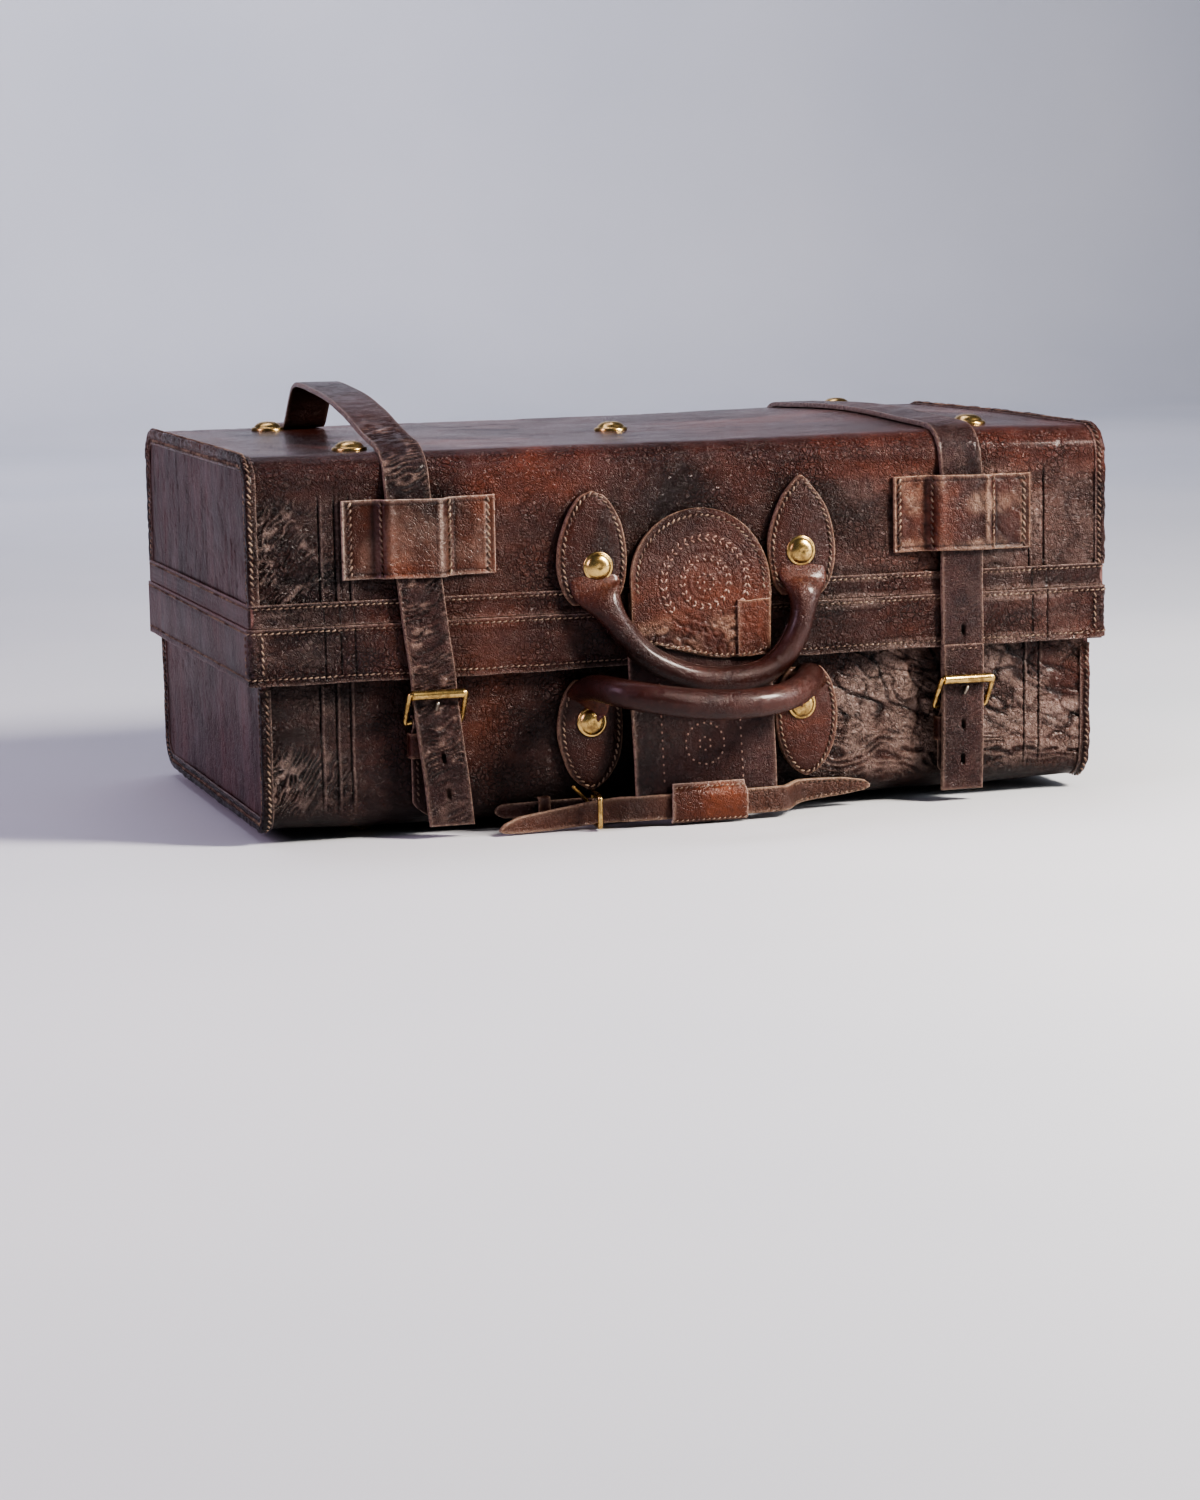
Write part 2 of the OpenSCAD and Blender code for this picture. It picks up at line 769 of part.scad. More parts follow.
module buckle_frame() {
    color(brass_colour) {
        translate([-buckle_half + 1, 0, 0]) rotate([0, 90, 0])
            cylinder(h = 2 * buckle_half - 2, r = heel_r);
        translate([-buckle_half + 1, 0, frame_l]) rotate([0, 90, 0])
            cylinder(h = 2 * buckle_half - 2, r = axle_r);
        for (s = [-1, 1]) translate([s * (buckle_half - side_bar / 2), 0, 0]) {
            translate([-side_bar / 2, -side_bar / 2, 0]) cube([side_bar, side_bar, frame_l]);
            for (z = [0, frame_l]) translate([-side_bar / 2, 0, z]) rotate([0, 90, 0])
                cylinder(h = side_bar, r = heel_r + 0.3);
        }
    }
}

module buckle_roller() {
    inner_half = buckle_half - side_bar - 0.4;
    color(brass_colour) translate([-inner_half, 0, frame_l]) rotate([0, 90, 0]) difference() {
        cylinder(h = 2 * inner_half, r = roller_r);
        translate([0, 0, -1]) cylinder(h = 2 * inner_half + 2, r = axle_r + pin_gap);
    }
}

// prong that turns on the heel bar, with its tip through the strap just under the roller
module buckle_prong(reach, angle) {
    color(steel_colour) rotate([angle, 0, 0]) difference() {
        union() {
            translate([-2, 0, 0]) rotate([0, 90, 0]) cylinder(h = 4, r = heel_r + pin_gap + 1.3);
            translate([0, 0, heel_r]) cylinder(h = reach - heel_r - prong_r, r = prong_r);
            translate([0, 0, reach - prong_r]) sphere(prong_r);
        }
        translate([-5, 0, 0]) rotate([0, 90, 0]) cylinder(h = 10, r = heel_r + pin_gap);
    }
}

module buckle_left_frame() { at_buckle(buckle_left_x, buckle_left_z) buckle_frame(); }
module buckle_left_roller() { at_buckle(buckle_left_x, buckle_left_z) buckle_roller(); }
module buckle_left_prong() {
    at_buckle(buckle_left_x, buckle_left_z) buckle_prong(prong_reach, prong_angle - frame_angle);
}
module buckle_right_frame() { at_buckle(buckle_right_x, buckle_right_z) buckle_frame(); }
module buckle_right_roller() { at_buckle(buckle_right_x, buckle_right_z) buckle_roller(); }
module buckle_right_prong() {
    at_buckle(buckle_right_x, buckle_right_z) buckle_prong(prong_reach, prong_angle - frame_angle);
}

// ---- closure ----
// outline of the disc between two heights: round above, straight-sided down to its foot
module disc_outline(z0, z1) {
    r = tongue_half - 1;
    intersection() {
        union() {
            translate([handle_x, disc_top - r]) circle(r);
            translate([handle_x - r, disc_foot]) square([2 * r, disc_top - r - disc_foot]);
        }
        translate([handle_x - r - 1, z0]) square([2 * r + 2, z1 - z0]);
    }
}

// the disc lies on the lid above the tongue's top edge, and over the tongue below it
module closure_disc() {
    color(leather_trim) {
        on_front(-lid_front - face_gap, tongue_t + 0.6)
            disc_outline(tongue_top + 2, disc_top + 1);
        on_front(tongue_back_y - tongue_t - 0.1, disc_t) disc_outline(rim_z, tongue_top + 6);
        on_front(-lid_front - tongue_t - 0.4, -tongue_back_y - lid_front + 1)
            disc_outline(tongue_top + 2, tongue_top + 6);
    }
}

module closure_tongue() {
    mid = tongue_back_y - tongue_t / 2;
    path = [[mid, tongue_top], [mid, rim_z], [mid - tongue_flare, flare_z], [mid - tongue_flare, 0]];
    color(leather_dark) intersection() {
        along_x(handle_x - tongue_half, handle_x + tongue_half) polygon(strip(path, tongue_t));
        on_front(-lid_front + 5, 40) union() {
            translate([handle_x - tongue_half, tongue_foot]) square([2 * tongue_half, tongue_top]);
            translate([handle_x - loop_half, loop_foot]) square([2 * loop_half, loop_top]);
        }
    }
}

module tongue_loop() {
    tongue_face = tongue_back_y - tongue_flare - tongue_t - 0.1;
    low = tongue_face - loop_t / 2;
    high = belt_y - belt_t / 2 - 0.5 - loop_t / 2;
    path = [[low, loop_top], [low, belt_z + belt_w + 3], [high, belt_z + belt_w + 1],
            [high, belt_z - 1.1], [low, belt_z - 2.6], [low, loop_foot - 1]];
    color(leather_trim) intersection() {
        along_x(handle_x - loop_half, handle_x + loop_half) polygon(strip(path, loop_t));
        translate([-100, -250, loop_foot]) cube([200, 200, loop_top]);
    }
}

// belt across the tongue: sewn to the base on the right, through the loop and the buckle
module belt() {
    anchor_y = -base_front - 0.2 - belt_t / 2;
    path = [
        [belt_tip_x, anchor_y], [belt_sewn_x, anchor_y], [66, belt_y + 14], [58, belt_y + 3.5], [53, belt_y],
        [-48, belt_y], [-60, belt_y + 5], [-72, belt_y + 8], [-100, belt_y + 8], [belt_tail_x, belt_y + 5]
    ];
    color(leather_dark) translate([0, 0, belt_z]) linear_extrude(belt_w) polygon(strip(path, belt_t));
}

module belt_chape() {
    mid_z = belt_z + belt_w / 2;
    fold_r = heel_r + pin_gap + chape_t;
    color(leather_dark) difference() {
        union() {
            translate([belt_tail_x, -base_front - face_gap - chape_t, mid_z - belt_chape_w / 2])
                cube([belt_heel[0] - belt_tail_x, chape_t, belt_chape_w]);
            translate([belt_heel[0], belt_heel[1], mid_z - belt_chape_w / 2])
                cylinder(h = belt_chape_w, r = fold_r);
        }
        translate([belt_heel[0], belt_heel[1], 0]) cylinder(h = 40, r = heel_r + pin_gap);
        // slot for the prong's eye, and the room above it that the bent prong needs
        translate([belt_heel[0] - 4, belt_heel[1] - 8, mid_z - belt_slot_half])
            cube([16, 16, 2 * belt_slot_half]);
        translate([belt_heel[0] - 8, belt_heel[1] - 8, mid_z - belt_slot_half])
            cube([16, 8, belt_frame_z[1] - mid_z]);
    }
}

module belt_keeper() {
    mid_z = belt_z + belt_w / 2;
    color(leather_trim) translate([belt_keeper_x, 0, 0]) along_x(0, belt_keeper_w) difference() {
        translate([-base_front - face_gap - chape_t - belt_keeper_t - 0.4, mid_z - belt_chape_w / 2 - 2.5])
            square([chape_t + belt_keeper_t + 0.4, belt_chape_w + 5]);
        translate([-base_front - 3 * face_gap - chape_t, mid_z - belt_chape_w / 2 - 0.5])
            square([chape_t + 5, belt_chape_w + 1]);
    }
}

// places children with the belt buckle's heel bar on Z and the frame towards -Y
module at_belt_buckle() {
    translate([belt_heel[0], belt_heel[1], 0]) rotate([0, 0, -belt_frame_turn]) children();
}

module belt_buckle_frame() {
    low = belt_frame_z[0];
    tall = belt_frame_z[1] - belt_frame_z[0];
    color(brass_colour) at_belt_buckle() {
        translate([0, 0, low]) cylinder(h = tall, r = heel_r);
        translate([0, -belt_frame_reach, low]) cylinder(h = tall, r = heel_r);
        for (z = [low, low + tall - 2]) translate([-1.4, -belt_frame_reach, z])
            cube([2.8, belt_frame_reach, 2]);
    }
}

// prong bent upwards, so that its tip stands clear above the belt
module belt_buckle_prong() {
    color(steel_colour) translate([belt_heel[0], belt_heel[1], belt_z + belt_w / 2])
        rotate([0, 0, belt_prong_turn]) difference() {
            union() {
                translate([0, 0, -2]) cylinder(h = 4, r = heel_r + pin_gap + 1.2);
                rotate([0, 90 - belt_prong_rise, 0]) {
                    cylinder(h = belt_prong_reach, r = prong_r);
                    translate([0, 0, belt_prong_reach]) sphere(prong_r);
                }
            }
            translate([0, 0, -5]) cylinder(h = 10, r = heel_r + pin_gap);
        }
}

base_wrap();
base_end_left();
base_end_right();
base_front_board();
base_back_board();
base_end_boards();
base_floor_board();
base_lining();
base_bindings();
base_lip_binding();
foot_studs();
base_handle_patches();
base_handle_studs();
buckle_chapes();
strap_keepers();
belt();
belt_chape();
belt_keeper();
hinge_leaves_base();
hinge_rivets_base();
hinge_pins();
lid_wrap();
lid_end_left();
lid_end_right();
lid_front_board();
lid_back_board();
lid_end_boards();
lid_top_board();
lid_lining();
lid_bindings();
lid_band_upper();
lid_band_lower();
top_studs();
strap_left();
strap_right();
strap_left_tail();
strap_right_tail();
saddle_left();
saddle_right();
strap_anchor_rivets();
closure_disc();
closure_tongue();
tongue_loop();
lid_handle_patches();
lid_handle_studs();
hinge_leaves_lid();
hinge_rivets_lid();
lid_handle_cover();
lid_handle_core();
base_handle_cover();
base_handle_core();
buckle_left_frame();
buckle_left_roller();
buckle_left_prong();
buckle_right_frame();
buckle_right_roller();
buckle_right_prong();
belt_buckle_frame();
belt_buckle_prong();
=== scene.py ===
"""Leather travelling case: the looks of every piece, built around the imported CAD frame.

The case's lengths are millimetres in the row frame, and become metres in add_mesh.
The floor, the lights and the camera are placed in metres.
"""

import json
import math

import bpy
import numpy as np
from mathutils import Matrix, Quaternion, Vector


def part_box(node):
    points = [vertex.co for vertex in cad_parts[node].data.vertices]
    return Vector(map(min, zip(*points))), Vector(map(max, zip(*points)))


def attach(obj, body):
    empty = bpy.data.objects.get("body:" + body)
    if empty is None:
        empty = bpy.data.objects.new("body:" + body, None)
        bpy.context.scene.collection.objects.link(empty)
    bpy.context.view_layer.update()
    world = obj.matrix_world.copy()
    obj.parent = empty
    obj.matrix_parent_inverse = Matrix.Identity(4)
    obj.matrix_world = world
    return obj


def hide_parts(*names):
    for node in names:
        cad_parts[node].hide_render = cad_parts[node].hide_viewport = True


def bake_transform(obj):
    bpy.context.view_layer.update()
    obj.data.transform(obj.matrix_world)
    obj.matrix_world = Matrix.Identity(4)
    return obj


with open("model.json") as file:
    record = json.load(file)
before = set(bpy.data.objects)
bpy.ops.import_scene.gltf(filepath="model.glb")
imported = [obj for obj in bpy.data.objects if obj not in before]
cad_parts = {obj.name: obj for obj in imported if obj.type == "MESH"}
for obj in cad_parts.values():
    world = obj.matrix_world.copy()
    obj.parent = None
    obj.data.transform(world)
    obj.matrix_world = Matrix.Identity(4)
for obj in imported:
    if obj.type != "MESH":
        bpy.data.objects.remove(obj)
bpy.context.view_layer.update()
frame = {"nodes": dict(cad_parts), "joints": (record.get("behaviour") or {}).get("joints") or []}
MM = 0.001


def node_box(name):
    """Lowest and highest corner of a CAD node in millimetres."""
    low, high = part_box(name)
    return np.array(low) / MM, np.array(high) / MM


# ---- main sizes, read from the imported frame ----
lid_low, lid_high = node_box("lid_wrap")
base_low, base_high = node_box("base_wrap")
LID_HALF = node_box("lid_end_right")[1][0]
BASE_HALF = node_box("base_end_right")[1][0]
LID_FRONT, BACK = lid_low[1], lid_high[1]
BASE_FRONT = base_low[1]
RIM, LID_TOP = lid_low[2], lid_high[2]
BASE_BOTTOM, LIP_TOP = base_low[2], base_high[2]
BAND_MID, BAND_TOP = node_box("lid_band_upper")[0][2], node_box("lid_band_upper")[1][2]
BAND_LOWER_T = LID_FRONT - node_box("lid_band_lower")[0][1]
BAND_UPPER_T = LID_FRONT - node_box("lid_band_upper")[0][1]
LID_EDGE_R, BASE_FRONT_R, BASE_BACK_R = 20.0, 12.0, 22.0
LEATHER, WALL = 3.0, 5.5
STUD_X, STUD_Y = 210.0, 118.0
TOOLED_X = (-242.0, -232.0, -223.0, 233.0, 243.5)
BACK_EDGE = RIM - 0.6
HANDLE_HALF = 71.0
DISC_X = (node_box("closure_disc")[0][0] + node_box("closure_disc")[1][0]) / 2
SLIVER = 0.05  # keeps an end panel's first and last columns just inside its corners
FORWARD = np.array([0, -1.0, 0])
PIVOTS = {j["name"]: np.array(j["pos_m"]) / MM for j in frame["joints"]}


# ---- smooth random fields ----
def lattice(i, j, k, seed):
    """A repeatable value from -1 to 1 for every lattice point."""
    n = (i * 374761393 + j * 668265263 + k * 1103515245 + seed * 144269) & 0xFFFFFFFF
    n = ((n ^ (n >> 13)) * 1274126177) & 0xFFFFFFFF
    n = n ^ (n >> 16)
    return n / 0x7FFFFFFF - 1.0


def noise(x, y, z=0.0, seed=0):
    """Smooth noise from -1 to 1, with features about one unit across."""
    x, y, z = np.broadcast_arrays(np.asarray(x, float), np.asarray(y, float), np.asarray(z, float))
    cells = [np.floor(v).astype(np.int64) for v in (x, y, z)]
    parts = [v - c for v, c in zip((x, y, z), cells)]
    ease = [f * f * f * (f * (f * 6 - 15) + 10) for f in parts]
    total = 0.0
    for a in (0, 1):
        for b in (0, 1):
            for c in (0, 1):
                weight = ((ease[0] if a else 1 - ease[0]) * (ease[1] if b else 1 - ease[1])
                          * (ease[2] if c else 1 - ease[2]))
                total = total + weight * lattice(cells[0] + a, cells[1] + b, cells[2] + c, seed)
    return total


def layered(x, y, z=0.0, seed=0, layers=3):
    """Noise with finer layers added at half strength each."""
    total, gain = 0.0, 1.0
    for n in range(layers):
        total = total + gain * noise(np.asarray(x) * 2 ** n, np.asarray(y) * 2 ** n,
                                     np.asarray(z) * 2 ** n, seed + 17 * n)
        gain *= 0.5
    return total / 1.75


def swell(x, y, z=0.0, seed=0):
    """Layered noise moved up, to run from about 0 to 1."""
    return 0.5 + 0.5 * layered(x, y, z, seed)


def crease(x, y, z, size, seed, width=0.28):
    """From 0 to 1: high along wandering valleys that are about size apart."""
    bend = 0.6 * layered(x / size / 2.2, y / size / 2.2, z / size / 2.2, seed + 5, 2)
    n = noise(x / size + bend, y / size - bend, z / size + bend, seed)
    return np.clip(1 - np.abs(n) / width, 0, 1) ** 1.5


def ripples(a, b, spacing, seed):
    """Rows of close wrinkles along a, repeating along b, that wander and break: 1 on ridges, 0 between."""
    bend = (1.3 * noise(a / (6.5 * spacing), b / (4 * spacing), 0, seed)
            + 0.55 * noise(a / (2.1 * spacing), b / (1.5 * spacing), 0, seed + 2))
    wave = 0.5 + 0.5 * np.sin(2 * np.pi * (b / spacing + bend))
    strength = bump_mask(noise(a / (1.6 * spacing), b / (0.9 * spacing), 0, seed + 1), -0.7, 0.5)
    return 1 - strength * (1 - wave)


def bump_mask(value, low, high):
    """Rises smoothly from 0 at low to 1 at high."""
    t = np.clip((value - low) / (high - low), 0, 1)
    return t * t * (3 - 2 * t)


# ---- paths ----
def cut_corners(points, rounds=3):
    """Rounds the corners of an open path and keeps its ends."""
    p = np.array(points, float)
    for _ in range(rounds):
        a, b = p[:-1], p[1:]
        mid = np.stack([0.75 * a + 0.25 * b, 0.25 * a + 0.75 * b], 1).reshape(-1, p.shape[1])
        p = np.vstack([p[:1], mid, p[-1:]])
    return p


def filleted(corners, radii, turn=6.0):
    """A 2-D path through corners, with an arc of the given radius at each inner corner."""
    corners = [np.array(c, float) for c in corners]
    out = [corners[0]]
    for i in range(1, len(corners) - 1):
        a = corners[i - 1] - corners[i]
        b = corners[i + 1] - corners[i]
        a, b = a / np.linalg.norm(a), b / np.linalg.norm(b)
        r = radii[i - 1]
        half = math.acos(np.clip(a @ b, -1, 1)) / 2
        centre = corners[i] + (a + b) / np.linalg.norm(a + b) * r / math.sin(half)
        p0, p1 = corners[i] + a * r / math.tan(half), corners[i] + b * r / math.tan(half)
        u, v = (p0 - centre) / r, (p1 - centre) / r
        sweep = math.acos(np.clip(u @ v, -1, 1))
        steps = max(2, int(math.degrees(sweep) / turn))
        for k in range(steps + 1):
            t = k / steps
            out.append(centre + r * (math.sin((1 - t) * sweep) * u + math.sin(t * sweep) * v) / math.sin(sweep))
    out.append(corners[-1])
    return np.array(out)


def lengths(p):
    """How far along the path each of its points lies."""
    return np.concatenate([[0], np.cumsum(np.linalg.norm(np.diff(p, axis=0), axis=1))])


def along(p, s):
    """Points at the distances s along the path p, and unit tangents there."""
    total = lengths(p)
    at = np.stack([np.interp(s, total, p[:, k]) for k in range(p.shape[1])], 1)
    ahead = np.stack([np.interp(np.minimum(s + 0.6, total[-1]), total, p[:, k]) for k in range(p.shape[1])], 1)
    back = np.stack([np.interp(np.maximum(s - 0.6, 0), total, p[:, k]) for k in range(p.shape[1])], 1)
    t = ahead - back
    return at, t / np.linalg.norm(t, axis=1, keepdims=True)


def spaced(length, step, r=1.0):
    """Distances from 0 to length: about a step apart, closer together at both ends."""
    near = np.array([0, 0.12, 0.4, 0.8]) * r
    inner = np.linspace(1.3 * r, length - 1.3 * r, max(2, round((length - 2.6 * r) / step)) + 1)
    return np.concatenate([near, inner, length - near[::-1]])


def with_lines(values, lines, half=0.7):
    """Adds close grid lines about each groove."""
    extra = [v + d for v in lines for d in (-half, -half / 2, 0, half / 2, half)
             if values[0] < v + d < values[-1]]
    keep = [v for v in values if all(abs(v - line) > half * 1.15 for line in lines)]
    return np.array(sorted(keep + extra))


def groove(values, lines, width=0.55):
    """From 0 to 1: how deep each value lies in one of the grooves."""
    deep = np.zeros(np.shape(values))
    for line in lines:
        deep = np.maximum(deep, np.exp(-((values - line) / width) ** 2))
    return deep


# ---- meshes ----
class Shape:
    """Vertices, quads and two values for each vertex, added up part by part: wear, which lightens edges as real
    wear and ridges as painted highlights, and crack, which darkens hollows as painted shade.
    """

    def __init__(self):
        self.verts, self.quads, self.wear, self.crack, self.count = [], [], [], [], 0

    def add(self, verts, quads, wear, crack=0.0):
        verts = verts.reshape(-1, 3)
        self.verts.append(verts)
        self.quads.append(np.asarray(quads).reshape(-1, 4) + self.count)
        self.wear.append(np.broadcast_to(wear, len(verts)))
        self.crack.append(np.broadcast_to(crack, len(verts)))
        self.count += len(verts)
        return self

    def join(self, other):
        self.quads += [q + self.count for q in other.quads]
        self.verts += other.verts
        self.wear += other.wear
        self.crack += other.crack
        self.count += other.count
        return self


def add_mesh(name, shape, material, body, stands_for=(), flip=False, sharp=50, ends=None):
    """Makes one object of a shape, rides it on its body and hides the CAD parts that it replaces.

    ends is a second material, for the faces beyond the lid's ends.
    """
    verts = np.concatenate(shape.verts) * MM
    quads = np.concatenate(shape.quads)
    if flip:
        quads = quads[:, ::-1]
    mesh = bpy.data.meshes.new(name)
    mesh.vertices.add(len(verts))
    mesh.vertices.foreach_set("co", verts.astype(np.float32).ravel())
    mesh.loops.add(len(quads) * 4)
    mesh.loops.foreach_set("vertex_index", quads.astype(np.int32).ravel())
    mesh.polygons.add(len(quads))
    mesh.polygons.foreach_set("loop_start", np.arange(0, len(quads) * 4, 4, dtype=np.int32))
    mesh.update(calc_edges=True)
    mesh.validate()
    for key, values in (("wear", shape.wear), ("crack", shape.crack)):
        attribute = mesh.attributes.new(key, "FLOAT", "POINT")
        attribute.data.foreach_set("value", np.concatenate(values).astype(np.float32))
    mesh.shade_smooth()
    mesh.set_sharp_from_angle(angle=math.radians(sharp))
    mesh.materials.append(material)
    if ends:
        mesh.materials.append(ends)
        centre = verts[quads].mean(1) / MM
        beyond = (np.abs(centre[:, 0]) > LID_HALF + 0.6) & (centre[:, 1] > LID_FRONT + 2.5)
        mesh.polygons.foreach_set("material_index", beyond.astype(np.int32))
    obj = bpy.data.objects.new(name, mesh)
    bpy.context.scene.collection.objects.link(obj)
    if body:
        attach(obj, body)
    if stands_for:
        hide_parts(*stands_for)
    return obj


def grid_quads(rows, cols, closed_rows=False, closed_cols=False):
    i = np.arange(rows if closed_rows else rows - 1)[:, None]
    j = np.arange(cols if closed_cols else cols - 1)[None, :]
    i2, j2 = (i + 1) % rows, (j + 1) % cols
    return np.stack([i * cols + j, i * cols + j2, i2 * cols + j2, i2 * cols + j], -1).reshape(-1, 4)


def plate(shape, outer, normal, thick, r=0.9, depth=0.0, crack=0.0, worn_and_lit=0.0):
    """A sheet of leather with rounded edges. outer is its outside before depth, the amount pressed in. crack
    darkens it as painted shade in its hollows; worn lightens it with painted highlights, on top of the real
    wear along its edges.
    """
    rows, cols = outer.shape[:2]
    normal = np.broadcast_to(normal, outer.shape)
    step_u = np.linalg.norm(np.diff(outer, axis=0), axis=2)
    step_v = np.linalg.norm(np.diff(outer, axis=1), axis=2)
    u = np.vstack([np.zeros(cols), np.cumsum(step_u, 0)])
    v = np.hstack([np.zeros((rows, 1)), np.cumsum(step_v, 1)])
    edge = np.minimum(np.minimum(u, u[-1] - u), np.minimum(v, v[:, -1:] - v))
    near = np.clip(edge, 0, r)
    drop = r - np.sqrt(np.maximum(r * r - (r - near) ** 2, 0))
    pressed = np.asarray(depth) * bump_mask(edge, 0, 2.5)
    top = outer - normal * (drop + pressed)[..., None]
    bottom = outer - normal * thick
    n = rows * cols
    quads = [grid_quads(rows, cols), grid_quads(rows, cols)[:, ::-1] + n]
    ring = np.concatenate([np.arange(cols), np.arange(1, rows) * cols + cols - 1,
                           (rows - 1) * cols + np.arange(cols - 2, -1, -1),
                           np.arange(rows - 2, 0, -1) * cols])
    after = np.roll(ring, -1)
    quads.append(np.stack([ring, ring + n, after + n, after], -1))
    # real wear along the edges, and the painted highlights given in worn
    wear = np.maximum(np.exp(-edge / 0.8), worn_and_lit).ravel()
    cracked = np.broadcast_to(crack, edge.shape).ravel()
    return shape.add(np.concatenate([top.reshape(-1, 3), bottom.reshape(-1, 3)]), np.concatenate(quads),
                     np.concatenate([wear, 0.8 * wear]), np.concatenate([cracked, 0 * cracked]))


def tube_quads(rows, sides):
    """The quads of a tube with closed ends, whose rings have an even number of sides."""
    k = np.arange(sides // 2 - 1)
    cap = np.stack([k, k + 1, sides - 2 - k, sides - 1 - k], -1)
    return np.concatenate([grid_quads(rows, sides, closed_cols=True), cap, cap[:, ::-1] + (rows - 1) * sides])


def tube(shape, centre, side, up, a, b, sides, wear=0.0):
    """A tube along centre, with half widths a across and b along up."""
    angle = np.linspace(0, 2 * math.pi, sides, endpoint=False)
    a, b = np.broadcast_to(a, len(centre)), np.broadcast_to(b, len(centre))
    ring = (centre[:, None] + side[:, None] * (a[:, None] * np.cos(angle))[..., None]
            + up[:, None] * (b[:, None] * np.sin(angle))[..., None])
    return shape.add(ring, tube_quads(len(centre), sides), np.broadcast_to(wear, ring.shape[:2]).ravel())


def lathe(shape, profile, centre, axis, sides=40, wobble=0.0, seed=0):
    """Turns (radius, height) points about an axis. The first and last radius are tiny."""
    axis = np.array(axis, float)
    side = np.cross(axis, [0.3, 0.9, 0.31])
    side /= np.linalg.norm(side)
    other = np.cross(axis, side)
    angle = np.linspace(0, 2 * math.pi, sides, endpoint=False)
    r, h = np.array(profile, float).T
    dent = 1 + wobble * noise(np.cos(angle) * 1.3, np.sin(angle) * 1.3, seed * 3.1, seed)
    ring = (np.array(centre, float) + axis * h[:, None, None]
            + side * (r[:, None] * np.cos(angle) * dent)[..., None]
            + other * (r[:, None] * np.sin(angle) * dent)[..., None])
    return shape.add(ring, tube_quads(len(r), sides), 0.0)


def stitches(shape, points, normals, pitch=4.0, length=3.3, width=0.62, slant=18.0, seed=1):
    """Saddle stitches of thick thread along a 3-D path, each lying a little askew."""
    lift = 0.12
    normals = np.broadcast_to(normals, points.shape)
    total = lengths(points)
    count = max(1, int(total[-1] / pitch))
    s = (np.arange(count) + 0.5) * total[-1] / count
    at, t = along(points, s)
    n = np.stack([np.interp(s, total, normals[:, k]) for k in range(3)], 1)
    n /= np.linalg.norm(n, axis=1, keepdims=True)
    t = t - n * np.sum(t * n, 1, keepdims=True)
    t /= np.linalg.norm(t, axis=1, keepdims=True)
    across = np.cross(n, t)
    turn = np.radians(slant + 9 * noise(s * 0.9, seed * 7.7, 0, seed))[:, None]
    run = t * np.cos(turn) + across * np.sin(turn)
    across = np.cross(n, run)
    size = 1 + 0.12 * noise(s * 1.7, 3.3, seed, seed)
    place = np.array([-0.5, -0.4, 0.0, 0.4, 0.5])
    fat = np.array([0.35, 0.85, 1.0, 0.85, 0.35])
    arch = np.array([-0.45, -0.1, 0.22, -0.1, -0.45])
    angle = np.linspace(0, 2 * math.pi, 6, endpoint=False)
    body = (at[:, None, None] + n[:, None, None] * lift
            + run[:, None, None] * (place[:, None] * length * size[:, None, None])[..., None]
            + across[:, None, None] * (fat[:, None] * np.cos(angle) * width)[None, ..., None]
            + n[:, None, None] * (fat[:, None] * np.sin(angle) * width * 0.8 + arch[:, None])[None, ..., None])
    one = np.concatenate([grid_quads(5, 6, closed_cols=True),
                          [[0, 1, 4, 5], [1, 2, 3, 4]], [[29, 28, 25, 24], [28, 27, 26, 25]]])
    quads = (one[None] + (np.arange(count) * 30)[:, None, None]).reshape(-1, 4)
    return shape.add(body, quads, 0.0)


def flat_stitches(shape, start, end, normal, **options):
    """A straight row of stitches with one normal."""
    p = np.linspace(np.array(start, float), np.array(end, float), 8)
    return stitches(shape, p, np.array(normal, float), **options)


# ---- materials ----
def node_tree(name):
    """A new material: itself, its node tree, its shader and its object coordinates."""
    material = bpy.data.materials.new(name)
    material.use_nodes = True
    tree = material.node_tree
    tree.nodes.clear()
    out = tree.nodes.new("ShaderNodeOutputMaterial")
    shader = tree.nodes.new("ShaderNodeBsdfPrincipled")
    tree.links.new(shader.outputs["BSDF"], out.inputs["Surface"])
    coords = tree.nodes.new("ShaderNodeTexCoord")
    return material, tree, shader, coords.outputs["Object"]


def texture(tree, kind, vector, scale, stretch=None, **inputs):
    """A texture node in object space, with its pattern stretched if asked."""
    if stretch:
        mapping = tree.nodes.new("ShaderNodeMapping")
        mapping.inputs["Scale"].default_value = stretch
        tree.links.new(vector, mapping.inputs["Vector"])
        vector = mapping.outputs["Vector"]
    node = tree.nodes.new(kind)
    if kind == "ShaderNodeTexVoronoi":
        node.feature = "DISTANCE_TO_EDGE"
    tree.links.new(vector, node.inputs["Vector"])
    node.inputs["Scale"].default_value = scale
    for key, value in inputs.items():
        node.inputs[key.replace("_", " ")].default_value = value
    return node


def ramp(tree, value, stops):
    """The colour of a colour ramp with these stops."""
    node = tree.nodes.new("ShaderNodeValToRGB")
    tree.links.new(value, node.inputs["Fac"])
    node.color_ramp.elements[0].position = stops[0][0]
    node.color_ramp.elements[-1].position = stops[-1][0]
    for place, _ in stops[1:-1]:
        node.color_ramp.elements.new(place)
    for element, (_, colour) in zip(node.color_ramp.elements, stops):
        element.color = (*colour, 1)
    return node.outputs["Color"]


def blend_colour(tree, mode, factor, first, second):
    """The result of a Mix node between two colours."""
    node = tree.nodes.new("ShaderNodeMix")
    node.data_type = "RGBA"
    node.blend_type = mode
    for socket, value in ((node.inputs[0], factor), (node.inputs[6], first), (node.inputs[7], second)):
        if isinstance(value, (int, float)):
            socket.default_value = value
        elif isinstance(value, tuple):
            socket.default_value = (*value, 1)
        else:
            tree.links.new(value, socket)
    return node.outputs[2]


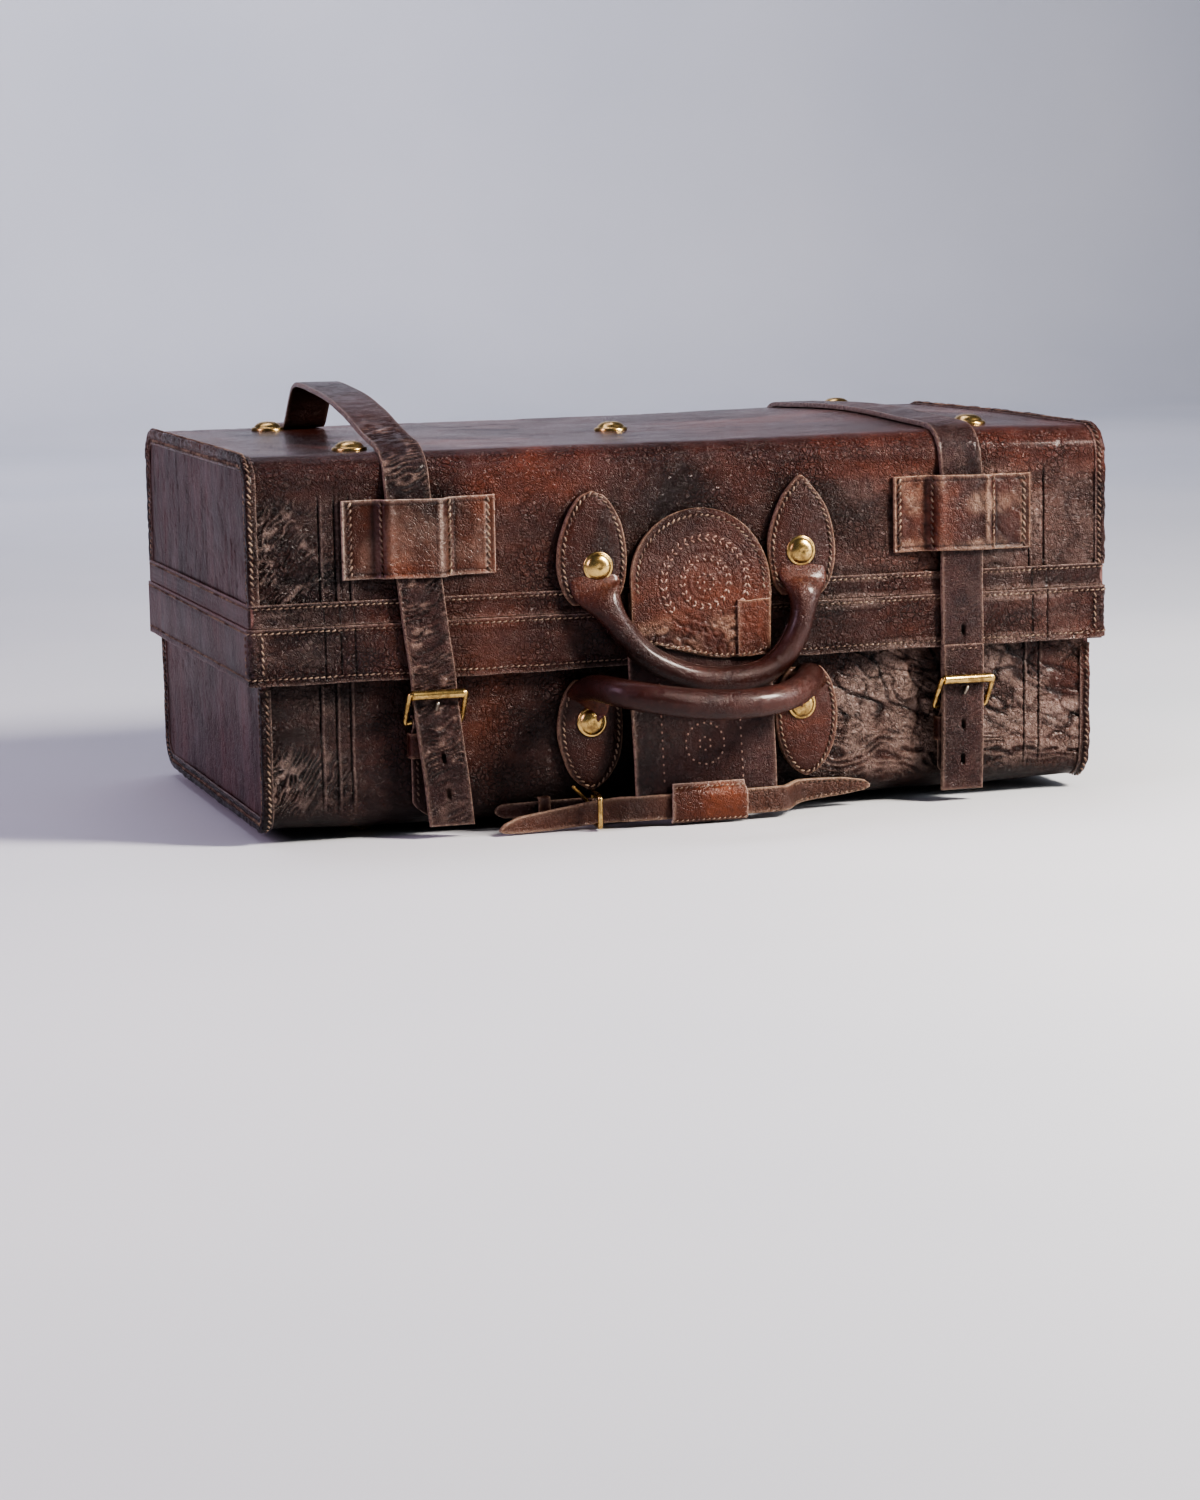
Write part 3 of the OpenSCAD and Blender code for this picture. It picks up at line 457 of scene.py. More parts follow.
def calculate(tree, operation, first, second=0.0, third=None, clamp=False):
    """The result of a Math node."""
    node = tree.nodes.new("ShaderNodeMath")
    node.operation = operation
    node.use_clamp = clamp
    for socket, value in zip(node.inputs, (first, second, third)):
        if value is None:
            continue
        if isinstance(value, (int, float)):
            socket.default_value = value
        else:
            tree.links.new(value, socket)
    return node.outputs[0]


def bumped(tree, shader, layers):
    """Chains bump nodes: each layer is (height, distance in metres, strength)."""
    last = None
    for height, distance, strength in layers:
        node = tree.nodes.new("ShaderNodeBump")
        node.inputs["Distance"].default_value = distance
        node.inputs["Strength"].default_value = strength
        tree.links.new(height, node.inputs["Height"])
        if last:
            tree.links.new(last, node.inputs["Normal"])
        last = node.outputs["Normal"]
    tree.links.new(last, shader.inputs["Normal"])


def painted(tree, name, strength):
    """A value stored on the mesh, times a strength."""
    node = tree.nodes.new("ShaderNodeAttribute")
    node.attribute_name = name
    return calculate(tree, "MULTIPLY", node.outputs["Fac"], strength, clamp=True)


def leather(name, dark, mid, light, worn_and_lit, rough=(0.24, 0.48), wrinkle=1.0, cell=300.0,
            streak=(1, 1, 1), streaks=0.35, edge=0.6, coat=0.2, heights=None):
    """Aged, glazed hide: cloudy colour, streaks, crackled wrinkles with painted shade in their crack lines,
    fine grain, worn edges, and the painted shade and painted highlights stored on the mesh.

    heights is a list of (height in metres, shade) that darkens or warms the hide by height: the darkening low
    down is painted shade.
    """
    material, tree, shader, at = node_tree(name)
    cloud = texture(tree, "ShaderNodeTexNoise", at, 11, Detail=6, Roughness=0.62, Distortion=0.4)
    colour = ramp(tree, cloud.outputs["Fac"], [(0.3, dark), (0.52, mid), (0.74, light)])
    band = texture(tree, "ShaderNodeTexNoise", at, 90, streak, Detail=5, Roughness=0.65)
    shade = ramp(tree, band.outputs["Fac"], [(0.3, (0.45, 0.42, 0.42)), (0.62, (1.15, 1.12, 1.1))])
    colour = blend_colour(tree, "MULTIPLY", streaks, colour, shade)
    if heights:
        split = tree.nodes.new("ShaderNodeSeparateXYZ")
        tree.links.new(at, split.inputs["Vector"])
        wander = calculate(tree, "MULTIPLY_ADD", cloud.outputs["Fac"], 0.03, -0.015)
        level = calculate(tree, "MULTIPLY", calculate(tree, "ADD", split.outputs["Z"], wander), 4.0)
        by_height = ramp(tree, level, [(height * 4.0, shade) for height, shade in heights])
        colour = blend_colour(tree, "MULTIPLY", 1.0, colour, by_height)
    warp = texture(tree, "ShaderNodeTexNoise", at, cell * 0.4, Detail=3)
    bent = blend_colour(tree, "LINEAR_LIGHT", 0.004, at, warp.outputs["Color"])
    cells = texture(tree, "ShaderNodeTexVoronoi", bent, cell, Randomness=1.0)
    fine = texture(tree, "ShaderNodeTexVoronoi", bent, cell * 2.7, Randomness=1.0)
    crack = ramp(tree, cells.outputs["Distance"], [(0.0, (0, 0, 0)), (0.16, (1, 1, 1))])
    small = ramp(tree, fine.outputs["Distance"], [(0.0, (0, 0, 0)), (0.25, (1, 1, 1))])
    grain = texture(tree, "ShaderNodeTexNoise", at, cell * 9, Detail=3, Roughness=0.7)
    patchy = texture(tree, "ShaderNodeTexNoise", at, 26, Detail=4, Roughness=0.6)
    where = ramp(tree, patchy.outputs["Fac"], [(0.4, (0.15, 0.15, 0.15)), (0.62, (1, 1, 1))])
    # painted shade: the fine crack lines of the grain are darkened, in the patches that the where mask allows
    colour = blend_colour(tree, "MULTIPLY", calculate(tree, "MULTIPLY", where, 0.42 * min(1.0, wrinkle)),
                          colour, crack)
    scuff = texture(tree, "ShaderNodeTexNoise", at, 420, Detail=4, Roughness=0.8)
    scuff_spots = ramp(tree, scuff.outputs["Fac"], [(0.63, (0, 0, 0)), (0.75, (1, 1, 1))])
    fleck = calculate(tree, "MULTIPLY", scuff_spots, 0.2)
    colour = blend_colour(tree, "MIX", fleck, colour, worn_and_lit)
    # painted shade: the crack values on the mesh darken the hollows of creases, tooled lines and holes
    colour = blend_colour(tree, "MULTIPLY", painted(tree, "crack", 0.9), colour, (0.12, 0.1, 0.1))
    # the wear values on the mesh lighten the hide: real wear along edges and handle roots, and painted
    # highlights on ridges, plateaus and beside tooled lines
    edge_wear_and_highlight = calculate(tree, "MULTIPLY", painted(tree, "wear", edge),
                          ramp(tree, scuff.outputs["Fac"], [(0.32, (0.15, 0.15, 0.15)), (0.55, (1, 1, 1))]),
                          clamp=True)
    colour = blend_colour(tree, "MIX", edge_wear_and_highlight, colour, worn_and_lit)
    tree.links.new(colour, shader.inputs["Base Color"])
    gloss = calculate(tree, "ADD", calculate(tree, "MULTIPLY", patchy.outputs["Fac"], rough[1] - rough[0]),
                      calculate(tree, "MULTIPLY", grain.outputs["Fac"], 0.16))
    gloss = calculate(tree, "ADD", gloss, rough[0] - 0.06, clamp=True)
    tree.links.new(gloss, shader.inputs["Roughness"])
    shader.inputs["Specular IOR Level"].default_value = 0.36
    shader.inputs["Coat Weight"].default_value = coat
    shader.inputs["Coat Roughness"].default_value = 0.16
    wavy = texture(tree, "ShaderNodeTexNoise", at, cell * 0.55, Detail=4, Roughness=0.6)
    strong = calculate(tree, "MULTIPLY", where, crack)
    bumped(tree, shader, [
        (wavy.outputs["Fac"], 0.0014, 0.6 * wrinkle),
        (strong, 0.0010, 0.8 * wrinkle),
        (small, 0.0004, 0.55 * wrinkle),
        (grain.outputs["Fac"], 0.0002, 0.5),
    ])
    return material


def metal(name, bright, dull, rough):
    """Worn metal: dull in patches, bright where it is worn smooth, finely scratched."""
    material, tree, shader, at = node_tree(name)
    cloud = texture(tree, "ShaderNodeTexNoise", at, 130, Detail=6, Roughness=0.65)
    colour = ramp(tree, cloud.outputs["Fac"], [(0.34, dull), (0.56, bright)])
    spots = texture(tree, "ShaderNodeTexNoise", at, 700, Detail=3, Roughness=0.7)
    speck = ramp(tree, spots.outputs["Fac"], [(0.3, (0.35, 0.28, 0.2)), (0.45, (1, 1, 1))])
    colour = blend_colour(tree, "MULTIPLY", 0.5, colour, speck)
    tree.links.new(colour, shader.inputs["Base Color"])
    shader.inputs["Metallic"].default_value = 1.0
    level = calculate(tree, "MULTIPLY", cloud.outputs["Fac"], -0.22)
    tree.links.new(calculate(tree, "ADD", level, rough + 0.14, clamp=True), shader.inputs["Roughness"])
    lines = texture(tree, "ShaderNodeTexNoise", at, 900, (1, 1, 6), Detail=4)
    bumped(tree, shader, [(cloud.outputs["Fac"], 0.0003, 0.3), (lines.outputs["Fac"], 0.00006, 0.5)])
    return material


def cloth(name, dark, light):
    """Plain-woven drill: crossed threads, faded and stained."""
    material, tree, shader, at = node_tree(name)
    cloud = texture(tree, "ShaderNodeTexNoise", at, 9, Detail=7, Roughness=0.6)
    colour = ramp(tree, cloud.outputs["Fac"], [(0.32, dark), (0.6, light)])
    weave = []
    for direction in ("X", "Y", "Z"):
        wave = tree.nodes.new("ShaderNodeTexWave")
        wave.bands_direction = direction
        wave.inputs["Scale"].default_value = 260
        wave.inputs["Distortion"].default_value = 0.6
        wave.inputs["Detail Scale"].default_value = 3
        tree.links.new(at, wave.inputs["Vector"])
        weave.append(wave.outputs["Fac"])
    threads = calculate(tree, "MAXIMUM", calculate(tree, "MAXIMUM", weave[0], weave[1]), weave[2])
    woven = calculate(tree, "MULTIPLY", calculate(tree, "ADD", weave[0], weave[1]), weave[2])
    shade = ramp(tree, woven, [(0.0, (0.72, 0.7, 0.68)), (0.9, (1.08, 1.06, 1.03))])
    colour = blend_colour(tree, "MULTIPLY", 0.7, colour, shade)
    tree.links.new(colour, shader.inputs["Base Color"])
    shader.inputs["Roughness"].default_value = 0.92
    shader.inputs["Sheen Weight"].default_value = 0.25
    shader.inputs["Sheen Roughness"].default_value = 0.5
    fuzz = texture(tree, "ShaderNodeTexNoise", at, 1500, Detail=3)
    bumped(tree, shader, [(threads, 0.0004, 0.5), (woven, 0.0003, 0.5), (fuzz.outputs["Fac"], 0.0002, 0.4)])
    return material


def thread(name, pale, dark):
    """Waxed linen thread, clean in places and blackened with polish in others."""
    material, tree, shader, at = node_tree(name)
    cloud = texture(tree, "ShaderNodeTexNoise", at, 75, Detail=5, Roughness=0.75)
    colour = ramp(tree, cloud.outputs["Fac"], [(0.4, dark), (0.62, pale)])
    tree.links.new(colour, shader.inputs["Base Color"])
    shader.inputs["Roughness"].default_value = 0.6
    twist = texture(tree, "ShaderNodeTexNoise", at, 2600, (1, 1, 2.5), Detail=2)
    bumped(tree, shader, [(twist.outputs["Fac"], 0.0003, 0.7)])
    return material


# by height: painted shade darkens the lowest 4 cm, where the base's front turns under, and the hide grows
# lighter and warmer towards the top
LOW_SHADE_HIGH_WARMTH = [(0.012, (0.35, 0.33, 0.33)), (0.042, (0.9, 0.88, 0.88)), (0.2, (1, 1, 1)),
                 (0.222, (1.5, 1.32, 1.15))]
body_hide = leather("body_hide", (0.012, 0.0044, 0.0034), (0.050, 0.0152, 0.0102), (0.118, 0.035, 0.0185),
                    (0.44, 0.32, 0.27), rough=(0.11, 0.28), wrinkle=1.25, streak=(0.1, 1, 1), streaks=0.6,
                    coat=0.1, heights=LOW_SHADE_HIGH_WARMTH)
end_hide = leather("end_hide", (0.028, 0.0074, 0.0080), (0.078, 0.0215, 0.0220), (0.13, 0.040, 0.038),
                   (0.26, 0.14, 0.12), rough=(0.24, 0.42), wrinkle=0.6, cell=240, streak=(1, 1, 0.05),
                   streaks=0.85, edge=0.7, coat=0.03)
strap_hide = leather("strap_hide", (0.016, 0.0062, 0.0058), (0.050, 0.0176, 0.0145), (0.10, 0.039, 0.030),
                     (0.42, 0.29, 0.23), rough=(0.13, 0.32), wrinkle=1.0, cell=420, edge=0.95, coat=0.1)
trim_hide = leather("trim_hide", (0.018, 0.0058, 0.0042), (0.068, 0.0190, 0.0112), (0.17, 0.050, 0.0245),
                    (0.42, 0.28, 0.20), rough=(0.12, 0.30), wrinkle=0.55, cell=360, edge=0.95, coat=0.12)
saddle_hide = leather("saddle_hide", (0.014, 0.0048, 0.0034), (0.085, 0.0230, 0.0104), (0.25, 0.070, 0.025),
                      (0.50, 0.38, 0.31), rough=(0.10, 0.26), wrinkle=0.5, cell=330, edge=0.9, coat=0.15)
handle_hide = leather("handle_hide", (0.014, 0.0054, 0.0046), (0.048, 0.0152, 0.0112), (0.105, 0.034, 0.023),
                      (0.105, 0.031, 0.0165), rough=(0.12, 0.30), wrinkle=0.5, cell=380, edge=0.85, coat=0.22)
raw_hide = leather("raw_hide", (0.045, 0.018, 0.012), (0.10, 0.040, 0.025), (0.19, 0.084, 0.054),
                   (0.46, 0.33, 0.24), rough=(0.22, 0.42), wrinkle=0.8, cell=360, edge=1.0, coat=0.08)
# painted highlight: the stamped strokes and dots are coloured light beige for the highlights they catch
tooled_highlight_hide = leather("tooled_highlight_hide", (0.12, 0.06, 0.045), (0.32, 0.20, 0.155), (0.5, 0.36, 0.29),
                      (0.6, 0.46, 0.38), rough=(0.2, 0.36), wrinkle=0.3, cell=700, edge=0.0, coat=0.1)
brass = metal("aged_brass", (0.62, 0.44, 0.19), (0.24, 0.155, 0.07), 0.24)
steel = metal("worn_steel", (0.62, 0.58, 0.5), (0.28, 0.24, 0.19), 0.3)
drill = cloth("drill_cloth", (0.21, 0.155, 0.095), (0.40, 0.32, 0.215))
pale_thread = thread("pale_thread", (0.33, 0.24, 0.17), (0.07, 0.035, 0.025))
dark_thread = thread("dark_thread", (0.26, 0.17, 0.12), (0.03, 0.015, 0.012))


# ---- how the whole case is out of true ----
TUCK = 4.0


def warp_lid(p):
    """Lifts the lid's top on the right and sinks it a little in the middle, as the hide has aged."""
    x, y, z = p[..., 0], p[..., 1], p[..., 2]
    high = bump_mask(z, 205, 242)
    hump = 6.0 * np.exp(-((x - 185) / 80) ** 2) * np.exp(-((y - 5) / 130) ** 2)
    dip = 1.6 * np.exp(-((x + 60) / 120) ** 2) * np.exp(-(y / 100) ** 2)
    out = p.copy()
    out[..., 2] += high * (hump - dip)
    return out


def warp_base(p):
    """The base's underside sags, its end corners lift, and its front turns in below its belly."""
    x, y, z = p[..., 0], p[..., 1], p[..., 2]
    low = 1 - bump_mask(z, 7, 45)
    sag = 2.6 * np.exp(-(x / 190) ** 2) * np.exp(-((y + 30) / 110) ** 2) - 1.8 * bump_mask(np.abs(x), 200, 279)
    out = p.copy()
    out[..., 2] -= low * sag
    out[..., 1] += TUCK * (1 - bump_mask(z, 4, 36)) * (1 - bump_mask(y, -150, -70))
    return out


def bend_verts(shape, warp):
    shape.verts = [warp(v) for v in shape.verts]
    return shape


# ---- the two halves' leather ----
def lid_profile(inset=0.0, bottom=None):
    """The lid's end outline from the front rim over the top to the back rim."""
    low = RIM if bottom is None else bottom
    front, back, top, r = LID_FRONT + inset, BACK - inset, LID_TOP - inset, max(LID_EDGE_R - inset, 4)
    return filleted([(front, low), (front, top), (back, top), (back, low)], [r, r])


def base_profile(inset=0.0):
    """The base's end outline from the front lip under the base to the back edge."""
    front, back, low = BASE_FRONT + inset, BACK - inset, BASE_BOTTOM + inset
    return filleted([(front, LIP_TOP), (front, low), (back, low), (back, BACK_EDGE)],
                    [max(BASE_FRONT_R - inset, 3), max(BASE_BACK_R - inset, 3)])


def turned(t):
    """Unit normals to the right of 2-D tangents."""
    return np.stack([t[:, 1], -t[:, 0]], 1)


def yz_sheet(at, normal, x):
    """A sheet through (y, z) points, with its columns at x: its outside and its normals."""
    outer = np.empty((len(at), np.shape(x)[-1], 3))
    outer[..., 0] = x
    outer[..., 1:] = at[:, None]
    normals = np.zeros_like(outer)
    normals[..., 1:] = normal[:, None]
    return outer, normals


def xy_sheet(at, normal, z):
    """A sheet through (x, y) points, with its columns at heights z: its outside and its normals."""
    outer = np.empty((len(at), np.shape(z)[-1], 3))
    outer[..., :2] = at[:, None]
    outer[..., 2] = z
    normals = np.zeros_like(outer)
    normals[..., :2] = normal[:, None]
    return outer, normals


def swept(profile, s, xs, outward):
    """A sheet that follows a (y, z) profile and runs along X. outward is 1 or -1."""
    at, t = along(profile, s)
    return yz_sheet(at, -turned(t) * outward, xs)


def stepped(total, marks, steps):
    """Distances from 0 to total, with its own step in each stretch between marks."""
    edges = [0, *marks, total]
    parts = [np.linspace(a, b, max(2, round((b - a) / step)) + 1)[:-1]
             for a, b, step in zip(edges, edges[1:], steps)]
    return np.concatenate([*parts, [total]])


def slanted(x, z, degrees, stretch):
    """Coordinates that run along and across a slanted direction, for drawn-out creases."""
    a = math.radians(degrees)
    return (x * math.cos(a) + z * math.sin(a)) / stretch, z * math.cos(a) - x * math.sin(a)


def crumpled(x, y, z, size, seed, degrees, stretch):
    """Crisp, close wrinkles, from 0 to 1, drawn out along a direction."""
    a, b = slanted(x, z, degrees, stretch)
    broad = crease(a, y, b, size, seed, 0.42)
    return 0.62 * broad + 0.38 * crease(a, y, b, size * 0.52, seed + 1, 0.5)


def beside_tooling(x):
    """The ridges next to the tooled lines, where a painted highlight is laid."""
    return groove(x, [line + 1.9 for line in TOOLED_X], 0.7)


def lid_depth(p):
    """How far the lid's hide is pressed in, how dark its cracks are painted as painted shade, and where painted
    highlights lighten it.
    """
    x, y, z = p[..., 0], p[..., 1], p[..., 2]
    facing = bump_mask(-y, 140, 160) * (1 - bump_mask(z, 206, 224))
    left, right = 1 - bump_mask(x + 0.25 * (z - 170), -268, -208), bump_mask(x, 80, 190)
    rows = ripples(*slanted(x, z, 46, 1), 3.5, 11)
    drawn = 0.7 * (1 - rows) + 0.3 * crumpled(x, y, z, 4.2, 12, 48, 2.0)
    fine = crumpled(x, y, z, 4.0, 14, -8, 1.8)
    coarse = 0.5 + 0.5 * bump_mask(noise(x / 33, z / 22, 0, 18), -0.4, 0.5)
    cracks = facing * (left * drawn + (0.42 + 0.5 * right) * coarse * (1 - left) * fine)
    folds = crease(x / 1.6, y, z + 0.2 * x, 17, 16, 0.26) * facing * (0.35 + 0.65 * np.maximum(left, right))
    hinge_zone = bump_mask(y, 150, 160) * (1 - bump_mask(z, 125, 140))
    deep = 0.8 * swell(x / 75, y / 75, z / 45, 3)
    deep = deep + 1.5 * cracks + 0.6 * folds
    deep = deep + 0.3 * (1 - facing) * crease(x / 2.5, y, z, 16, 13, 0.2)
    lines = facing * groove(x, TOOLED_X)
    # painted shade: the cracks, folds and tooled lines are darkened in colour
    crack = np.clip((0.85 - 0.3 * left) * cracks ** 1.3 + 0.3 * folds + 0.9 * lines, 0, 1)
    # painted highlight: the right of the front, glints on the ridge tops of the left's wrinkle rows, and the
    # ridges beside the tooled lines are lightened
    highlight_patches = bump_mask(noise(x / 26, z / 26, 0, 19), -0.25, 0.6)
    worn_and_lit = facing * (1 - crack) ** 3 * (0.3 + 0.7 * highlight_patches) * (0.75 * right + 0.06)
    glint = left * rows ** 10 * bump_mask(noise(x / 7, z / 7, 0, 21), -0.4, 0.5)
    worn_and_lit = np.maximum(worn_and_lit, facing * np.maximum(0.8 * glint * (1 - crack), 0.45 * beside_tooling(x)))
    return np.minimum(deep, 2.4) * (1 - hinge_zone) + 0.8 * lines, crack, worn_and_lit


def base_depth(p):
    """The same for the base, with deep folds on the right and a slack fold on the left."""
    x, y, z = p[..., 0], p[..., 1], p[..., 2]
    facing = bump_mask(-y, 140, 156) * bump_mask(z, 14, 30)
    left, right = 1 - bump_mask(x, -272, -205), bump_mask(x, 62, 105)
    low_left = left * (1 - bump_mask(z, 50, 66))
    hidden = bump_mask(z, 101, 108)
    hinge_zone = bump_mask(y, 150, 160) * bump_mask(z, 70, 82)
    deep = 0.6 * swell(x / 70, y / 70, z / 40, 23)
    branch = crease(x / 2.0, y, z + 0.42 * x, 11.5, 31, 0.2)
    a, b = slanted(x, z, -24, 2.0)
    veins = 0.8 * crease(a, y, b, 8.5, 35, 0.2) + 0.45 * crease(a, y, b, 4.4, 38, 0.34)
    rows = ripples(*slanted(x, z, 58, 1), 3.6, 32)
    low_rows = ripples(*slanted(x, z, -7, 1), 5.0, 37)
    low_right = right * (1 - bump_mask(z + 0.08 * x, 56, 74))
    fine = crumpled(x, y, z, 3.8, 33, -6, 1.8)
    cracks = facing * ((right - 0.6 * low_right) * (0.7 * branch + 0.75 * veins)
                       + 0.6 * low_right * (1 - low_rows) + 0.75 * low_left * (1 - rows)
                       + 0.3 * (1 - right) * (1 - low_left) * fine)
    deep = deep + 1.55 * cracks
    dent = np.exp(-((x + 236) / 24) ** 2 - ((z - 66 + 0.55 * (x + 236)) / 11) ** 2)
    pull = np.exp(-((x + 214) / 30) ** 2 - ((z - 40 + 0.75 * (x + 214)) / 5) ** 2)
    deep = deep + facing * (1.7 * dent + 1.1 * pull)
    deep = deep + 0.4 * (1 - facing) * crease(x / 2.5, y, z, 18, 34, 0.2)
    lines = facing * (1 - hidden) * groove(x, TOOLED_X)
    # painted shade: the cracks and tooled lines are darkened in colour
    crack = np.clip(0.75 * cracks ** 1.2 + 0.8 * lines, 0, 1) * (1 - hidden)
    # painted highlight: the plateaus between the right's folds, a sheen along the left's slack fold, the ridge
    # tops of the low wrinkle rows and the ridges beside the tooled lines are lightened
    highlight_patches = bump_mask(noise(x / 24, z / 24, 0, 36), -0.6, 0.3)
    sheen = np.exp(-((x + 226) / 26) ** 2 - ((z - 72 + 0.7 * (x + 226)) / 16) ** 2)
    worn_and_lit = (1 - crack) ** 3 * (0.85 * right * highlight_patches * bump_mask(z, 30, 40) + 0.5 * left * sheen)
    ridges = np.maximum(0.7 * low_left * rows ** 8, 0.75 * low_right * low_rows ** 4)
    worn_and_lit = np.maximum(worn_and_lit, (1 - crack) * ridges)
    worn_and_lit = facing * (1 - hidden) * np.maximum(worn_and_lit, 0.5 * beside_tooling(x))
    return np.minimum(deep * (1 - hinge_zone) * (1 - hidden), 2.3) + 0.7 * lines, crack, worn_and_lit


def front_columns(half):
    """Places across a shell, closer together at the finely wrinkled left."""
    half = half - LEATHER
    return stepped(2 * half, [90.0], [0.68, 0.98]) - half


def lid_shell():
    """The lid's one sheet of hide: front, top and back."""
    profile = lid_profile()
    total = lengths(profile)[-1]
    front = LID_TOP - LID_EDGE_R - RIM
    s = stepped(total, [BAND_MID - RIM, front, front + 31, total - front - 31], [4.0, 0.8, 1.8, 4.0, 4.0])
    xs = with_lines(front_columns(LID_HALF), TOOLED_X)
    outer, normals = swept(profile, s, xs, 1)
    deep, crack, worn_and_lit = lid_depth(outer)
    shape = plate(Shape(), outer, normals, LEATHER - 0.1, r=0.3, depth=deep, crack=crack, worn_and_lit=worn_and_lit)
    add_mesh("lid_hide", bend_verts(shape, warp_lid), body_hide, "lid", ["lid_wrap"], flip=True)


def base_shell():
    """The base's one sheet of hide: front, underside and back."""
    profile = base_profile()
    total = lengths(profile)[-1]
    front = LIP_TOP - BASE_BOTTOM - BASE_FRONT_R
    s = stepped(total, [LIP_TOP - RIM, front, front + 19, total - 110], [3.0, 0.85, 1.7, 5.0, 4.0])
    xs = with_lines(front_columns(BASE_HALF), TOOLED_X)
    outer, normals = swept(profile, s, xs, -1)
    deep, crack, worn_and_lit = base_depth(outer)
    shape = plate(Shape(), outer, normals, LEATHER - 0.1, r=0.5, depth=deep, crack=crack, worn_and_lit=worn_and_lit)
    add_mesh("base_hide", bend_verts(shape, warp_base), body_hide, "base", ["base_wrap"])


def corner_height(y, front, back, r_front, r_back):
    """How far a rounded end corner cuts into the outline at each y."""
    rise = np.zeros(np.shape(y))
    a = np.clip((front + r_front) - y, 0, r_front)
    b = np.clip(y - (back - r_back), 0, r_back)
    rise = rise + r_front - np.sqrt(r_front ** 2 - a ** 2)
    return rise + r_back - np.sqrt(r_back ** 2 - b ** 2)


def end_grid(y, low, high, rows, x):
    t = np.linspace(0, 1, rows)[:, None]
    outer = np.empty((rows, len(y), 3))
    outer[..., 0] = x
    outer[..., 1] = y
    outer[..., 2] = low + (high - low) * t
    return outer



def end_depth(p, seed, lines):
    """Vertical drag marks, shallow waves and tooled lines on an end panel."""
    y, z = p[..., 1], p[..., 2]
    deep = 1.3 * np.exp(-((y + 10) / 110) ** 2) * (0.6 + 0.4 * noise(y / 60, z / 60, 0, seed))
    deep = deep + 0.45 * swell(y / 9, z / 90, 0, seed + 1)
    deep = deep + 0.5 * crease(y, z, 0 * y, 13, seed + 2, 0.2)
    return deep + 0.45 * groove(z, lines)


def lid_ends():
    """The lid's two flat end panels."""
    y = spaced(BACK - LID_FRONT, 2.2, 1.2) + LID_FRONT
    y[0], y[-1] = y[0] + SLIVER, y[-1] - SLIVER
    top = LID_TOP - corner_height(y, LID_FRONT, BACK, LID_EDGE_R, LID_EDGE_R)
    for side, name, seed in ((-1, "left", 41), (1, "right", 47)):
        outer = end_grid(y, RIM, top, 72, side * LID_HALF)
        shape = plate(Shape(), outer, np.array([side, 0, 0.0]), LEATHER, r=0.6,
                      depth=end_depth(outer, seed, [BAND_TOP + 42, BAND_TOP + 46]))
        add_mesh(f"lid_end_{name}_hide", bend_verts(shape, warp_lid), end_hide, "lid",
                 [f"lid_end_{name}"], flip=side > 0)


def base_ends():
    """The base's two flat end panels."""
    y = spaced(BACK - BASE_FRONT, 2.2, 1.2) + BASE_FRONT
    y[0], y[-1] = y[0] + SLIVER, y[-1] - SLIVER
    low = BASE_BOTTOM + corner_height(y, BASE_FRONT, BACK, BASE_FRONT_R, BASE_BACK_R)
    high = np.where(y < 156, LIP_TOP, BACK_EDGE)
    for side, name, seed in ((-1, "left", 53), (1, "right", 59)):
        outer = end_grid(y, low, high, 60, side * BASE_HALF)
        shape = plate(Shape(), outer, np.array([side, 0, 0.0]), LEATHER, r=0.6,
                      depth=end_depth(outer, seed, [32, 36]) * (1 - bump_mask(outer[..., 2], 98, 106)))
        add_mesh(f"base_end_{name}_hide", bend_verts(shape, warp_base), end_hide, "base",
                 [f"base_end_{name}"], flip=side > 0)


# ---- stitched bindings round the end seams ----
def binding(profile, outward, half, side, wide, seed):
    """A strip drawn tight over the corner between the wrap and an end panel, with its stitch rows."""
    over = 3.4
    total = lengths(profile)[-1]
    s = spaced(total, 1.5, 0.8)
    at, t = along(profile, s)
    n2 = -turned(t) * outward
    section = cut_corners([(half - 0.66 * wide, 0.3), (half - 3.6, 0.75), (half - 1.2, 1.7), (half + 1.3, 1.3),
                           (half + 1.5, -2.2), (half + 0.8, -5.5), (half + 0.45, -wide)], 2)
    w = spaced(lengths(section)[-1], 1.0, 0.7)
    flat, tangent = along(section, w)
    out2 = -turned(tangent)
    out2 *= np.sign(out2[0, 1])
    wavy = 0.55 * noise(s / 11, seed, 0, seed) + 0.5 * noise(s / 4.2, seed, 4, seed)
    fold = np.exp(-((w - w[-1] / 2) / over) ** 2)
    off = flat[None, :, 1] + wavy[:, None] * fold
    outer = np.empty((len(s), len(w), 3))
    outer[..., 0] = side * (flat[None, :, 0] + 0.3 * wavy[:, None])
    outer[..., 1:] = at[:, None] + n2[:, None] * off[..., None]
    normals = np.empty_like(outer)
    normals[..., 0] = side * out2[None, :, 0]
    normals[..., 1:] = n2[:, None] * out2[None, :, 1:2]
    rows = [2.7, w[-1] - 5.0]
    creases = crease(outer[..., 0], outer[..., 1], outer[..., 2], 4, seed, 0.4)
    deep = 0.4 * groove(w, rows, 0.9)[None] + 0.5 * creases
    return outer, normals, deep, rows, w


def stitch_rows(shape, outer, normals, w, rows, seed, **options):
    """Stitches along the lines of a grid that lie nearest to the given widths."""
    for row in rows:
        j = int(np.argmin(np.abs(w - row)))
        stitches(shape, outer[:, j] - normals[:, j] * 0.25, normals[:, j], seed=seed, **options)


